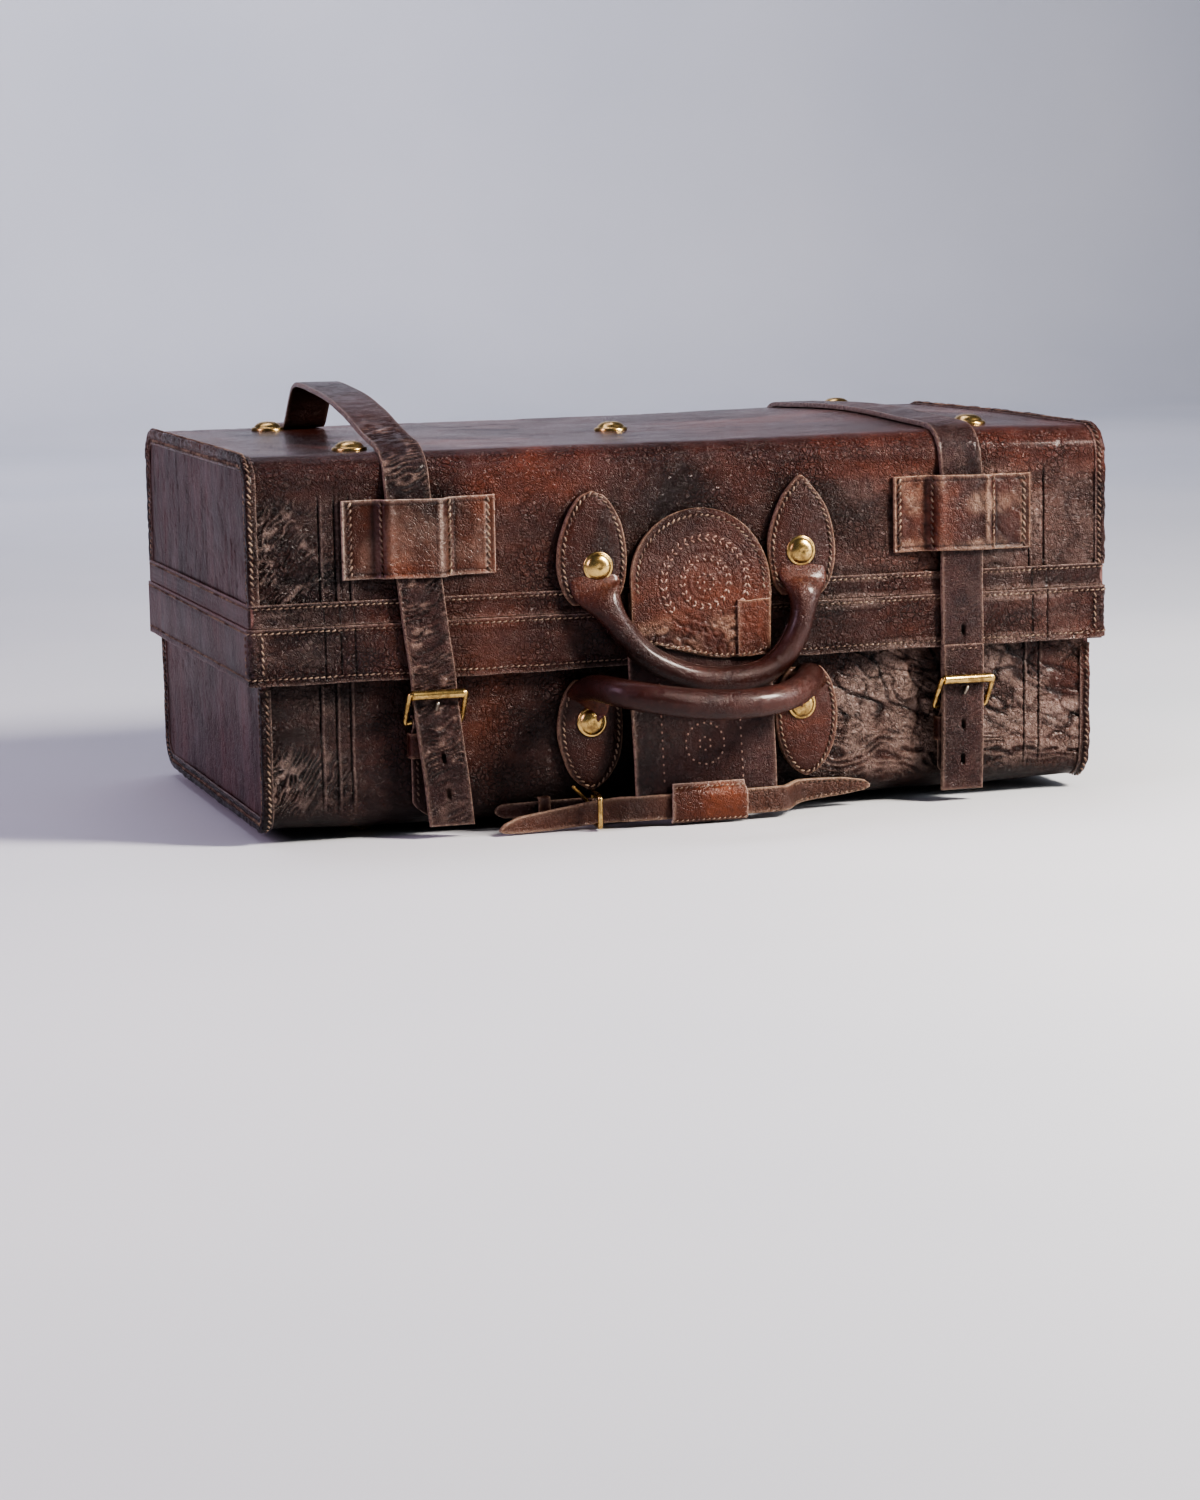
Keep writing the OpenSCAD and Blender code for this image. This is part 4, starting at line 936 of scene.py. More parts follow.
def bindings():
    """The stitched edge bindings round both ends of the lid and the base."""
    for part, profile, outward, half, warp in (("lid", lid_profile(0, BAND_TOP - 1), 1, LID_HALF, warp_lid),
                                               ("base", base_profile(), -1, BASE_HALF, warp_base)):
        if part == "base":
            total = lengths(profile)
            keep = np.linspace(LIP_TOP - RIM + 3.5, total[-1] - 2, 400)
            profile = along(profile, keep)[0]
        shape = Shape()
        for side in (-1, 1):
            seams = Shape()
            seed = 61 + side + len(part)
            outer, normals, deep, rows, w = binding(profile, outward, half, side, 9.0, seed)
            if side * outward < 0:
                outer, normals, deep = outer[:, ::-1], normals[:, ::-1], deep[:, ::-1]
                w = w[-1] - w[::-1]
            plate(shape, outer, normals, 0.95, r=0.4, depth=deep)
            stitch_rows(seams, outer, normals, w, rows, seed, pitch=4.1, length=3.9, width=0.68, slant=34)
            add_mesh(f"{part}_edge_stitches_{'left' if side < 0 else 'right'}", bend_verts(seams, warp),
                     pale_thread if side < 0 else dark_thread, part)
        add_mesh(f"{part}_edge_binding", bend_verts(shape, warp), body_hide, part,
                 [f"{part}_bindings"], flip=True)


# ---- bands round the lid's rim ----
def band(name, z0, z1, t, node, seed, rows):
    """A strip round the lid's front and both ends. Returns the stitches along its edges."""
    half, front = LID_HALF + t, LID_FRONT - t
    plan = filleted([(-half, BACK), (-half, front), (half, front), (half, BACK)], [4.5, 4.5], 9)
    total = lengths(plan)[-1]
    span = -front + BACK
    marks = [span - 8, span + 8, span + 2 * half - 8, span + 2 * half + 8]
    s = np.unique(np.concatenate([stepped(total, marks, [3.0, 1.0, 1.1, 1.0, 3.0]),
                                  [0.4, 0.9, total - 0.4, total - 0.9]]))
    lines = [span + half + x for x in TOOLED_X]
    s = with_lines(s, lines)
    z = with_lines(spaced(z1 - z0, 1.1, 0.8), [r - z0 for r in rows], 0.9) + z0
    at, t2 = along(plan, s)
    outer, normals = xy_sheet(at, turned(t2), z)
    if name == "lower":
        sway = 0.7 * noise(s / 70, seed, 0, seed) + 0.35 * noise(s / 17, seed, 2, seed)
        outer[..., 2] += sway[:, None] * (1 - bump_mask(z, z0, z0 + 12))[None]
    facing = bump_mask(-outer[..., 1], 158, 164)
    end_lines = (1 - facing) * groove(z, [z0 + 3.0, z0 + 6.0, z1 - 4.5])[None]
    deep = 0.35 * groove(z, rows, 0.9)[None] + 0.6 * facing * groove(s, lines)[:, None] + 0.4 * end_lines
    x = outer[..., 0]
    rough = np.maximum(1 - bump_mask(x, -275, -215), 0.7 * bump_mask(x, 190, 250)) * facing
    cracks = crumpled(x, outer[..., 1], outer[..., 2], 4.0, seed + 3, 20, 1.8) * (0.25 + 0.75 * rough) * facing
    deep = deep + 0.3 * (0.5 + 0.5 * noise(s / 30, seed)[:, None]) + 0.85 * cracks
    if name == "upper":
        sunk = bump_mask(z, z0 + 1.5, z0 + 4) * (1 - bump_mask(z, z1 - 5.6, z1 - 3.6))
        deep = np.minimum(deep + 0.65 * sunk[None] * facing, t - 0.2)
    else:
        sunk = bump_mask(z, z0 + 6, z0 + 8) * (1 - bump_mask(z, z1 - 8, z1 - 6))
        deep = deep + 0.5 * sunk[None] * facing
    # painted shade: the cracks and tooled lines on the band's front are darkened
    crack = np.clip(0.7 * cracks ** 1.5 + 0.7 * facing * groove(s, lines)[:, None], 0, 1)
    # painted highlight: ridge tops on the band's front are lightened, more on the right and on the rough left
    highlight_patches = bump_mask(noise(x / 24, outer[..., 2] / 20, 0, seed + 5), -0.3, 0.6)
    worn_and_lit = facing * (1 - crack) ** 3 * highlight_patches * (0.3 * rough + 0.5 * bump_mask(x, 60, 110) * (1 - sunk)[None])
    shape = plate(Shape(), outer, normals, t - 0.05, r=0.7, depth=np.minimum(deep, t - 0.15),
                  crack=crack, worn_and_lit=worn_and_lit)
    add_mesh(f"lid_band_{name}_hide", shape, body_hide, "lid", [node], flip=True, ends=end_hide)
    seams = Shape()
    stitch_rows(seams, outer, normals, z, rows, seed, pitch=3.9, slant=14, width=0.5, length=2.9)
    return seams


def bands():
    """The lid's two rim bands and their stitches."""
    upper = band("upper", BAND_MID + 0.1, BAND_TOP, BAND_UPPER_T, "lid_band_upper", 71, [BAND_TOP - 2.6])
    lower = band("lower", RIM, BAND_MID, BAND_LOWER_T, "lid_band_lower", 73, [RIM + 4.2, BAND_MID - 2.8])
    for side in (-1, 1):
        x = side * (LID_HALF - 6.5)
        y = LID_FRONT - BAND_LOWER_T + 0.3
        flat_stitches(lower, (x, y, RIM + 6), (x, y, BAND_MID - 4), (0, -1, 0), seed=75 + side, slant=24)
        x = side * (LID_HALF + BAND_LOWER_T - 0.3)
        flat_stitches(lower, (x, LID_FRONT + 7, RIM + 6), (x, LID_FRONT + 7, BAND_MID - 4), (side, 0, 0),
                      seed=77 + side, slant=24)
    add_mesh("lid_band_stitches", upper.join(lower), pale_thread, "lid")


# ---- straps ----
def cross_crinkles(s, w, seed, amount):
    """Short, crisp wrinkles that run across a strap, slightly aslant. From 0 to amount in their valleys."""
    across = s[:, None] + 0.34 * w[None, :]
    rows = ripples(w[None, :] + 0 * across, across, 3.6, seed)
    return amount * (0.8 * (1 - rows) + 0.2 * crease(across, w[None, :] / 3.0, 0 * across, 7.0, seed + 1, 0.36))


def ribbon(path, wide, thick, seed, crinkle, shift, holes=()):
    """A strap along a (y, z) path. shift moves it sideways at each (y, z)."""
    total = lengths(path)[-1]
    s = spaced(total, 0.8, 0.8)
    w = spaced(wide, 1.05, 0.9) - wide / 2
    at, t = along(path, s)
    edge_wave = 0.35 * noise(s / 23, seed, 0, seed)
    columns = shift(at)[:, None] + w + edge_wave[:, None]
    outer, normals = yz_sheet(at + turned(t) * thick / 2, turned(t), columns)
    creases = cross_crinkles(s, w, seed, crinkle(at)[:, None])
    deep = 1.15 * creases + 0.25 * np.exp(-((np.abs(w) - wide / 2 + 2.4) / 0.6) ** 2)[None]
    # painted shade in the crinkles' valleys, and painted highlight glints on their ridge tops
    crack = 0.7 * np.clip(creases, 0, 1)
    highlight_patches = bump_mask(noise(s[:, None] / 8, w[None] / 8, 0, seed + 7), -0.5, 0.6)
    worn_and_lit = (1 - np.clip(creases, 0, 1)) ** 12 * highlight_patches * (0.6 * crinkle(at)[:, None] - 0.08)
    # painted shade: the strap holes are darkened as well as sunk
    for z in holes:
        hit = np.exp(-(((outer[..., 2] - z) / 3.4) ** 4)) * np.exp(-((w / 1.25) ** 4))[None]
        hit = hit * bump_mask(-outer[..., 1], 150, 160)
        deep, crack = deep + 2.4 * hit, np.maximum(crack, hit)
    return plate(Shape(), outer, normals, thick, r=0.9, depth=deep, crack=crack, worn_and_lit=np.maximum(worn_and_lit, 0))


STRAP_W, STRAP_T = 29.0, 3.2
strap_face = node_box("strap_left_tail")[1][1] - STRAP_T / 2
LEFT_X, RIGHT_X, LEAN = -185.0, 183.6, 0.1104
PIVOT_Z = 165.0


def left_shift(at):
    """Sideways place of the left strap: straight over the top, leaning to the right down the front."""
    y, z = at[:, 0], at[:, 1]
    lean = LEFT_X + 5 + (PIVOT_Z - z) * LEAN
    return np.where(y < -140, lean + (LEFT_X - lean) * bump_mask(z, 205, 250), LEFT_X)


def straps():
    """The two luggage straps: the left one arches over the lid, and the right one lies flat."""
    top = LID_TOP + 0.2 + STRAP_T / 2
    back = BACK + 0.2 + STRAP_T / 2
    edge = [(back, 150), (back, 205), (back, 222), (161, 232), (153, 240), (143, top)]
    front = [(-161.5, 234), (-165.3, 224), (-166.6, 214), (strap_face, 198), (strap_face, 150),
             (strap_face, 104), (strap_face, 40), (strap_face + 1.0, 8)]
    arch = [(125, 0), (117, 0.3), (111, 4), (104, 12), (96, 21), (88, 27.5), (78, 30.5), (64, 30.8), (20, 28.5),
            (-21, 24.8), (-60, 17.5), (-95, 9.0), (-122, 3.6), (-143, 0.8)]
    loose = [(y, top + rise) for y, rise in arch]
    left = cut_corners(edge + loose + front, 2)
    tight = [(120, top), (0, top), (-120, top), (-144, top), (-154, 240.5)]
    right = cut_corners(edge + tight + front, 2)

    def left_crinkle(at):
        front_part = bump_mask(-at[:, 0], 60, 120)
        smooth_foot = 1 - bump_mask(at[:, 1], 30, 42)
        return 0.22 + 0.9 * front_part * (1 - 0.7 * smooth_foot)

    shape = ribbon(left, STRAP_W, STRAP_T, 81, left_crinkle, left_shift, holes=(28, 51))
    add_mesh("strap_left_hide", bend_verts(shape, warp_lid), strap_hide, "lid",
             ["strap_left", "strap_left_tail"])

    def straight(at):
        return np.full(len(at), RIGHT_X)

    def slight(at):
        return np.full(len(at), 0.24)

    shape = ribbon(right, STRAP_W, STRAP_T, 87, slight, straight, holes=(28, 51, 113))
    # the right strap's lower piece is spliced on just under the rim
    splice = cut_corners([(strap_face - 1.7, 104), (strap_face - 2.3, 98), (strap_face - 1.7, 80)], 1)
    seams = Shape()
    flat_stitches(seams, (RIGHT_X - 10, strap_face - 2.9, 101), (RIGHT_X + 10, strap_face - 2.9, 101),
                  (0, -1, 0), seed=91, width=0.45, length=2.6)
    shape.join(ribbon(splice, STRAP_W - 0.6, 1.2, 89, slight, straight))
    add_mesh("strap_right_hide", bend_verts(shape, warp_lid), strap_hide, "lid",
             ["strap_right", "strap_right_tail"])
    add_mesh("strap_splice_stitches", seams, dark_thread, "lid")


# ---- saddles that the straps pass under ----
def saddle(name, node, middle, ends, rows, seed, material, wrinkled):
    """A patch with a raised loop over the strap, sewn along rows. wrinkled goes from 0 to 1."""
    low_z, high_z = node_box(node)[0][2], node_box(node)[1][2]
    low, high = LID_FRONT - 2.4, node_box(node)[0][1] + 0.2
    half = STRAP_W / 2 + 6.2
    plan = cut_corners([(ends[0], low), (middle - half - 9, low), (middle - half - 2.5, low - 0.8),
                        (middle - half + 0.5, high + 0.5), (middle - half + 4, high), (middle + half - 4, high),
                        (middle + half - 0.5, high + 0.5), (middle + half + 2.5, low - 0.8),
                        (middle + half + 9, low), (ends[1], low)], 2)
    total = lengths(plan)[-1]
    s = with_lines(spaced(total, 1.1, 0.8), [float(np.interp(x, plan[:, 0], lengths(plan))) for x in rows], 0.9)
    z = spaced(high_z - low_z, 1.1, 0.8) + low_z
    at, t = along(plan, s)
    outer, normals = xy_sheet(at, turned(t), z + 0.8 * noise(s / 30, seed, 0, seed)[:, None])
    line = groove(at[:, 0], rows, 1.0)
    frame_z = groove(z, [low_z + 3.4, high_z - 3.4], 0.6)
    frame_x = groove(at[:, 0], [ends[0] + 2.6, ends[1] - 2.6, rows[1] - 3.4, rows[2] + 3.4], 0.6)
    ridge = groove(at[:, 0], [middle - half + 4.5, middle + half - 4.5], 2.6)
    cracks = wrinkled * crumpled(outer[..., 0], 0 * outer[..., 0], outer[..., 2], 7.5, seed + 1, -55, 1.8)
    deep = 0.45 * line[:, None] + 0.5 * swell(at[:, :1] / 18, z[None] / 18, 0, seed)
    deep = deep + 0.5 * np.maximum(frame_z[None], frame_x[:, None]) - 0.9 * ridge[:, None] + 0.7 * cracks
    # painted shade in the cracks and frame lines; painted highlight on wrinkled ridge tops and in bright
    # upright lines at the loop's right side and both ends
    crack = np.clip(0.6 * cracks + 0.6 * np.maximum(frame_z[None], frame_x[:, None]), 0, 1)
    highlight_patches = bump_mask(noise(outer[..., 0] / 15, outer[..., 2] / 15, 0, seed + 4), -0.3, 0.6)
    right_ridge = groove(at[:, 0], [middle + half - 4.5, ends[1] - 5.5, ends[0] + 1.0], 1.3)[:, None]
    worn_and_lit = (1 - crack) ** 2 * np.maximum(0.6 * wrinkled * highlight_patches, 0.8 * right_ridge)
    shape = plate(Shape(), outer, normals, 2.2, r=0.9, depth=deep, crack=crack, worn_and_lit=worn_and_lit)
    add_mesh(name, shape, material, "lid", [node], flip=True)
    seams = Shape()
    for k, x in enumerate(rows):
        j = int(np.argmin(np.abs(at[:, 0] - x)))
        line = outer[j, 3:-3] - normals[j, 3:-3] * 0.3
        stitches(seams, line, normals[j, 3:-3], seed=seed + k, slant=30 if k % 2 else -30,
                 width=0.8, length=3.7)
    add_mesh(name + "_stitches", seams, pale_thread, "lid")


# ---- pointed patches that hold the handles ----
def leaf(x0, y_face, heights, halves, thick, crown, seed):
    """A patch whose half width changes with height.

    Returns its grid, how deep it is pressed in, and the height and half width of each row.
    """
    row_inset, step = 3.6, 1.5
    heights, halves = np.array(heights, float), np.array(halves, float)
    fine = cut_corners(np.stack([heights, halves], 1), 2)
    z = np.linspace(heights[0], heights[-1], int(abs(heights[-1] - heights[0]) / step) + 1)
    z = np.unique(np.concatenate([z, heights[0] + np.array([0.2, 0.6, 1.0]) * np.sign(z[-1] - z[0]),
                                  heights[-1] - np.array([0.2, 0.6, 1.0]) * np.sign(z[-1] - z[0])]))
    half = np.interp(z, *(fine[:, k][np.argsort(fine[:, 0])] for k in (0, 1)))
    u = np.concatenate([[-1, -0.985, -0.955, -0.92], np.linspace(-0.88, 0.88, 25), [0.92, 0.955, 0.985, 1]])
    outer = np.empty((len(z), len(u), 3))
    outer[..., 0] = x0 + u * half[:, None] + 0.4 * noise(z / 15, seed, 0, seed)[:, None]
    outer[..., 2] = z[:, None]
    dome = crown * (1 - np.abs(u) ** 2.5)[None] * bump_mask(half, 2, 14)[:, None]
    outer[..., 1] = y_face - thick - dome
    inset = (1 - np.abs(u))[None] * half[:, None]
    deep = 0.4 * np.exp(-((inset - row_inset) / 0.9) ** 2)
    deep = deep + 0.35 * swell(outer[..., 0] / 12, outer[..., 2] / 12, 0, seed)
    return outer, deep, z, half


def patch(name, nodes, x0, y_face, heights, halves, seed, skip, body):
    """Builds a handle patch and returns its stitch line. skip is the height range left open."""
    outer, deep, z, half = leaf(x0, y_face, heights, halves, 3.3, 1.6, seed)
    shape = plate(Shape(), outer, FORWARD, 3.2, r=1.0, depth=deep)
    add_mesh(name, shape, trim_hide, body, nodes, flip=True)
    tip_low = abs(heights[-1] - skip[0]) > abs(heights[0] - skip[0])
    order = z if tip_low else z[::-1]
    hw = half if tip_low else half[::-1]
    keep = (hw > 4.2) & ((order < skip[0]) | (order > skip[1]))
    left = np.stack([x0 - hw[keep] + 3.4, np.full(keep.sum(), y_face - 3.45), order[keep]], 1)
    right = left[::-1].copy()
    right[:, 0] = 2 * x0 - right[:, 0]
    bow = 1.6 * (1 - (np.abs(left[:, 0] - x0) / np.maximum(hw[keep], 1)) ** 2.5)
    left[:, 1] -= bow * 0.9
    right[:, 1] -= bow[::-1] * 0.9
    return np.vstack([left, right])


def handle_patches():
    """The four teardrop patches that hold the handles, and their stitches."""
    handle_x = PIVOTS["lid_handle_swing"][0]
    face = LID_FRONT - 0.9
    lid_seams, base_seams = Shape(), Shape()
    for side, tip, seed in ((-1, 213.5, 101), (1, 218, 103)):
        x0 = handle_x + side * HANDLE_HALF + (0.5 if side < 0 else -1.5)
        heights = [142, 144, 148, 155, 165, 175, 185, 195, 204, 211, tip - 1, tip]
        halves = [13.5, 15.5, 18.5, 21.3, 23, 23, 21.4, 18.2, 13.6, 8, 2.6, 0.7]
        line = patch(f"lid_handle_patch_{'left' if side < 0 else 'right'}",
                     ["lid_handle_patches"], x0, face, heights, halves, seed, (0, 146), "lid")
        stitches(lid_seams, line, FORWARD, pitch=4.0, slant=26, seed=seed)
    face = BASE_FRONT - 0.4
    for side, seed in ((-1, 107), (1, 109)):
        x0 = handle_x + side * HANDLE_HALF + (0 if side < 0 else 4)
        heights = [23, 24, 28, 34, 42, 52, 62, 70, 78, 86, 92, 94]
        halves = [0.7, 3.5, 9.5, 14.5, 18.3, 21, 21.8, 21.5, 20, 17, 12.5, 10]
        line = patch(f"base_handle_patch_{'left' if side < 0 else 'right'}",
                     ["base_handle_patches"], x0, face, heights, halves, seed, (88, 200), "base")
        stitches(base_seams, line, FORWARD, pitch=4.0, slant=26, seed=seed)
    add_mesh("lid_patch_stitches", lid_seams, pale_thread, "lid")
    add_mesh("base_patch_stitches", base_seams, pale_thread, "base")


# ---- rolled handles ----
def spread(points, count):
    """A smooth path through rounded control points, evenly spaced. Extra columns ride along."""
    p = cut_corners(points, 4)
    total = lengths(p[:, :3])
    s = np.linspace(0, total[-1], count)
    return np.stack([np.interp(s, total, p[:, k]) for k in range(p.shape[1])], 1)



def handle(name, nodes, body, controls, plane_normal, seed):
    """A rolled leather handle and its seam. Controls are x, y, z, half width, half thickness."""
    p = spread(np.array(controls, float), 150)
    centre, sides = p[:, :3], 28
    t = np.gradient(centre, axis=0)
    t /= np.linalg.norm(t, axis=1, keepdims=True)
    up = np.broadcast_to(plane_normal, t.shape)
    up = up - t * np.sum(up * t, 1, keepdims=True)
    up /= np.linalg.norm(up, axis=1, keepdims=True)
    side = np.cross(t, up)
    lumps = 1 + 0.03 * noise(np.linspace(0, 12, len(p)), seed, 0, seed)
    run = lengths(centre)
    from_root = np.minimum(run, run[-1] - run)
    wear = np.repeat(1 - bump_mask(from_root, 10, 38), sides).reshape(-1, sides)
    shape = tube(Shape(), centre, side, up, p[:, 3] * lumps, p[:, 4] * lumps, sides, wear)
    obj = add_mesh(name, shape, handle_hide, None, nodes, sharp=70)
    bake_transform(obj)
    # raised seam where the rolled hide is sewn together, on the side away from the hand
    inner = (p[:, 3] * lumps)[:, None] * side
    low = centre + inner * np.sign(np.sum((centre.mean(0) - centre) * side, 1))[:, None]
    keep = slice(30, len(p) - 30)
    seam = tube(Shape(), low[keep], up[keep], side[keep], 0.9, 0.7, sides=8)
    add_mesh(name + "_seam", seam, handle_hide, body)


def handles():
    """The two rolled handles."""
    pivot = PIVOTS["lid_handle_swing"]
    lean = math.radians(7)
    drop = np.array([0, -math.sin(lean), -math.cos(lean)])
    normal = np.array([0, -math.cos(lean), math.sin(lean)])

    def hung(x, down, half=8.1, thick=8.1):
        p = pivot + drop * down
        return (x, p[1], p[2], half, thick)

    face = LID_FRONT - 4.0
    controls = [(-67.5, face + 0.6, 167, 9, 0.6), (-67.5, face, 162, 14, 1.4),
                (-67, face - 1.0, 156.5, 16.5, 2.0), (-66, face - 2.6, 151, 16.5, 3.2),
                (-63.5, pivot[1] + 0.4, 145.5, 12.5, 6.4),
                hung(-59, 8, 9.4, 7.8), hung(-53.5, 17), hung(-45, 28.7),
                hung(-34.5, 38.7), hung(-17, 47.8), hung(1.3, 53.3), hung(18, 54.6), hung(35, 53.0),
                hung(47.5, 47.7), hung(57.6, 38.7), hung(65, 27.6), hung(69.4, 15.7, 7.8),
                hung(70.8, 8, 9, 7.8),
                (71.5, pivot[1] + 0.4, 145.5, 12, 6.4), (72.2, face - 2.6, 151, 16, 3.2),
                (72.5, face - 1.0, 156.5, 16, 2.0), (72.5, face, 162, 14, 1.4), (72.5, face + 0.6, 167, 9, 0.6)]
    handle("lid_handle_hide", ["lid_handle_cover", "lid_handle_core"], "lid_handle", controls,
           normal, 111)

    droop = math.radians(4)
    normal = np.array([0, -math.sin(droop), math.cos(droop)])
    face = BASE_FRONT - 3.4
    controls = [(-68.5, face + 0.6, 68, 8, 0.6), (-69, face, 73, 12.5, 1.4), (-70, face - 1.6, 79, 14, 2.8),
                (-71.5, face - 4.0, 85, 13.5, 4.8), (-72.5, -169, 89.4, 11, 7), (-72, -179, 91.4, 9.2, 8.4),
                (-69, -193, 91.6, 9, 9),
                (-61, -207, 90.2, 9.1, 9.1), (-46, -216.5, 87.4, 9.2, 9.2), (-29, -220.6, 84.6, 9.3, 9.3),
                (-13, -221.8, 82.4, 9.4, 9.4), (3.5, -222, 81.4, 9.4, 9.4), (20, -221.4, 81.4, 9.3, 9.3),
                (38, -217, 82.4, 9.2, 9.2), (53, -208, 84.8, 9.1, 9.1), (64, -196, 88, 9, 9),
                (71, -183, 90.6, 9.0, 8.6), (75, -171, 91, 10.6, 7.2), (77, face - 4.0, 86, 13, 4.8),
                (77, face - 1.6, 80, 13.5, 2.8), (76.5, face, 74, 12, 1.4), (76, face + 0.6, 69, 8, 0.6)]
    handle("base_handle_hide", ["base_handle_cover", "base_handle_core"], "base_handle", controls,
           normal, 113)


# ---- brass studs ----
STUD_PROFILE = [(0.3, -1.0), (9.8, -1.0), (9.85, 0.2), (9.6, 0.9), (8.9, 1.25), (8.5, 1.15), (8.1, 1.35),
                (7.6, 2.1), (6.5, 3.0), (5.0, 3.7), (3.2, 4.1), (1.6, 4.2), (1.0, 4.1), (0.3, 4.05)]


FOOT_PROFILE = [(0.3, -1.5), (9.9, -1.5), (9.9, 0.6), (9.4, 1.6), (8.2, 3.2), (6.4, 4.9),
                (4.6, 6.1), (2.6, 6.75), (0.3, 6.9)]


def studs():
    """Domed studs on the lid, under the base and over the handles' ends."""
    top = [(r * 1.14, h * 1.3) for r, h in STUD_PROFILE]
    places = [(-STUD_X, -STUD_Y), (STUD_X, -STUD_Y), (0, 0), (-STUD_X, STUD_Y), (STUD_X, STUD_Y)]
    shape, feet = Shape(), Shape()
    for n, (x, y) in enumerate(places):
        lathe(shape, top, (x, y, LID_TOP), (0, 0, 1), wobble=0.012, seed=n)
        lathe(feet, FOOT_PROFILE, (x, y, BASE_BOTTOM), (0, 0, -1), wobble=0.012, seed=n + 9)
    add_mesh("top_stud_heads", bend_verts(shape, warp_lid), brass, "lid", ["top_studs"])
    add_mesh("foot_stud_heads", feet, brass, "base", ["foot_studs"])
    for part, node, pivot, z_left, z_right in (("lid", "lid_handle_studs", "lid_handle_swing", 166, 170),
                                               ("base", "base_handle_studs", "base_handle_swing", 67, 70)):
        face = node_box(node)[1][1] + 0.2
        shape = Shape()
        for side, z in ((-1, z_left), (1, z_right)):
            x = PIVOTS[pivot][0] + side * HANDLE_HALF + (3.5 if side < 0 else -2.5) * (part == "lid")
            lathe(shape, STUD_PROFILE, (x, face, z), (0, -1, 0), wobble=0.012, seed=20 + side)
        add_mesh(f"{part}_handle_stud_heads", shape, brass, part, [node])


# ---- closure: disc, tongue, loop patch ----
def dots(shape, centre, radius, y, pitch, stroke=1.7):
    """A ring of small raised dots on the front."""
    a = np.linspace(0, 2 * math.pi, 60)
    face = y if callable(y) else (lambda z: np.full(len(z), y))
    ring = np.stack([centre[0] + radius * np.cos(a), 0 * a, centre[1] + radius * np.sin(a)], 1)
    ring[:, 1] = face(ring[:, 2])
    return stitches(shape, ring, FORWARD, pitch=pitch, length=stroke,
                    width=0.65, slant=0, seed=149)


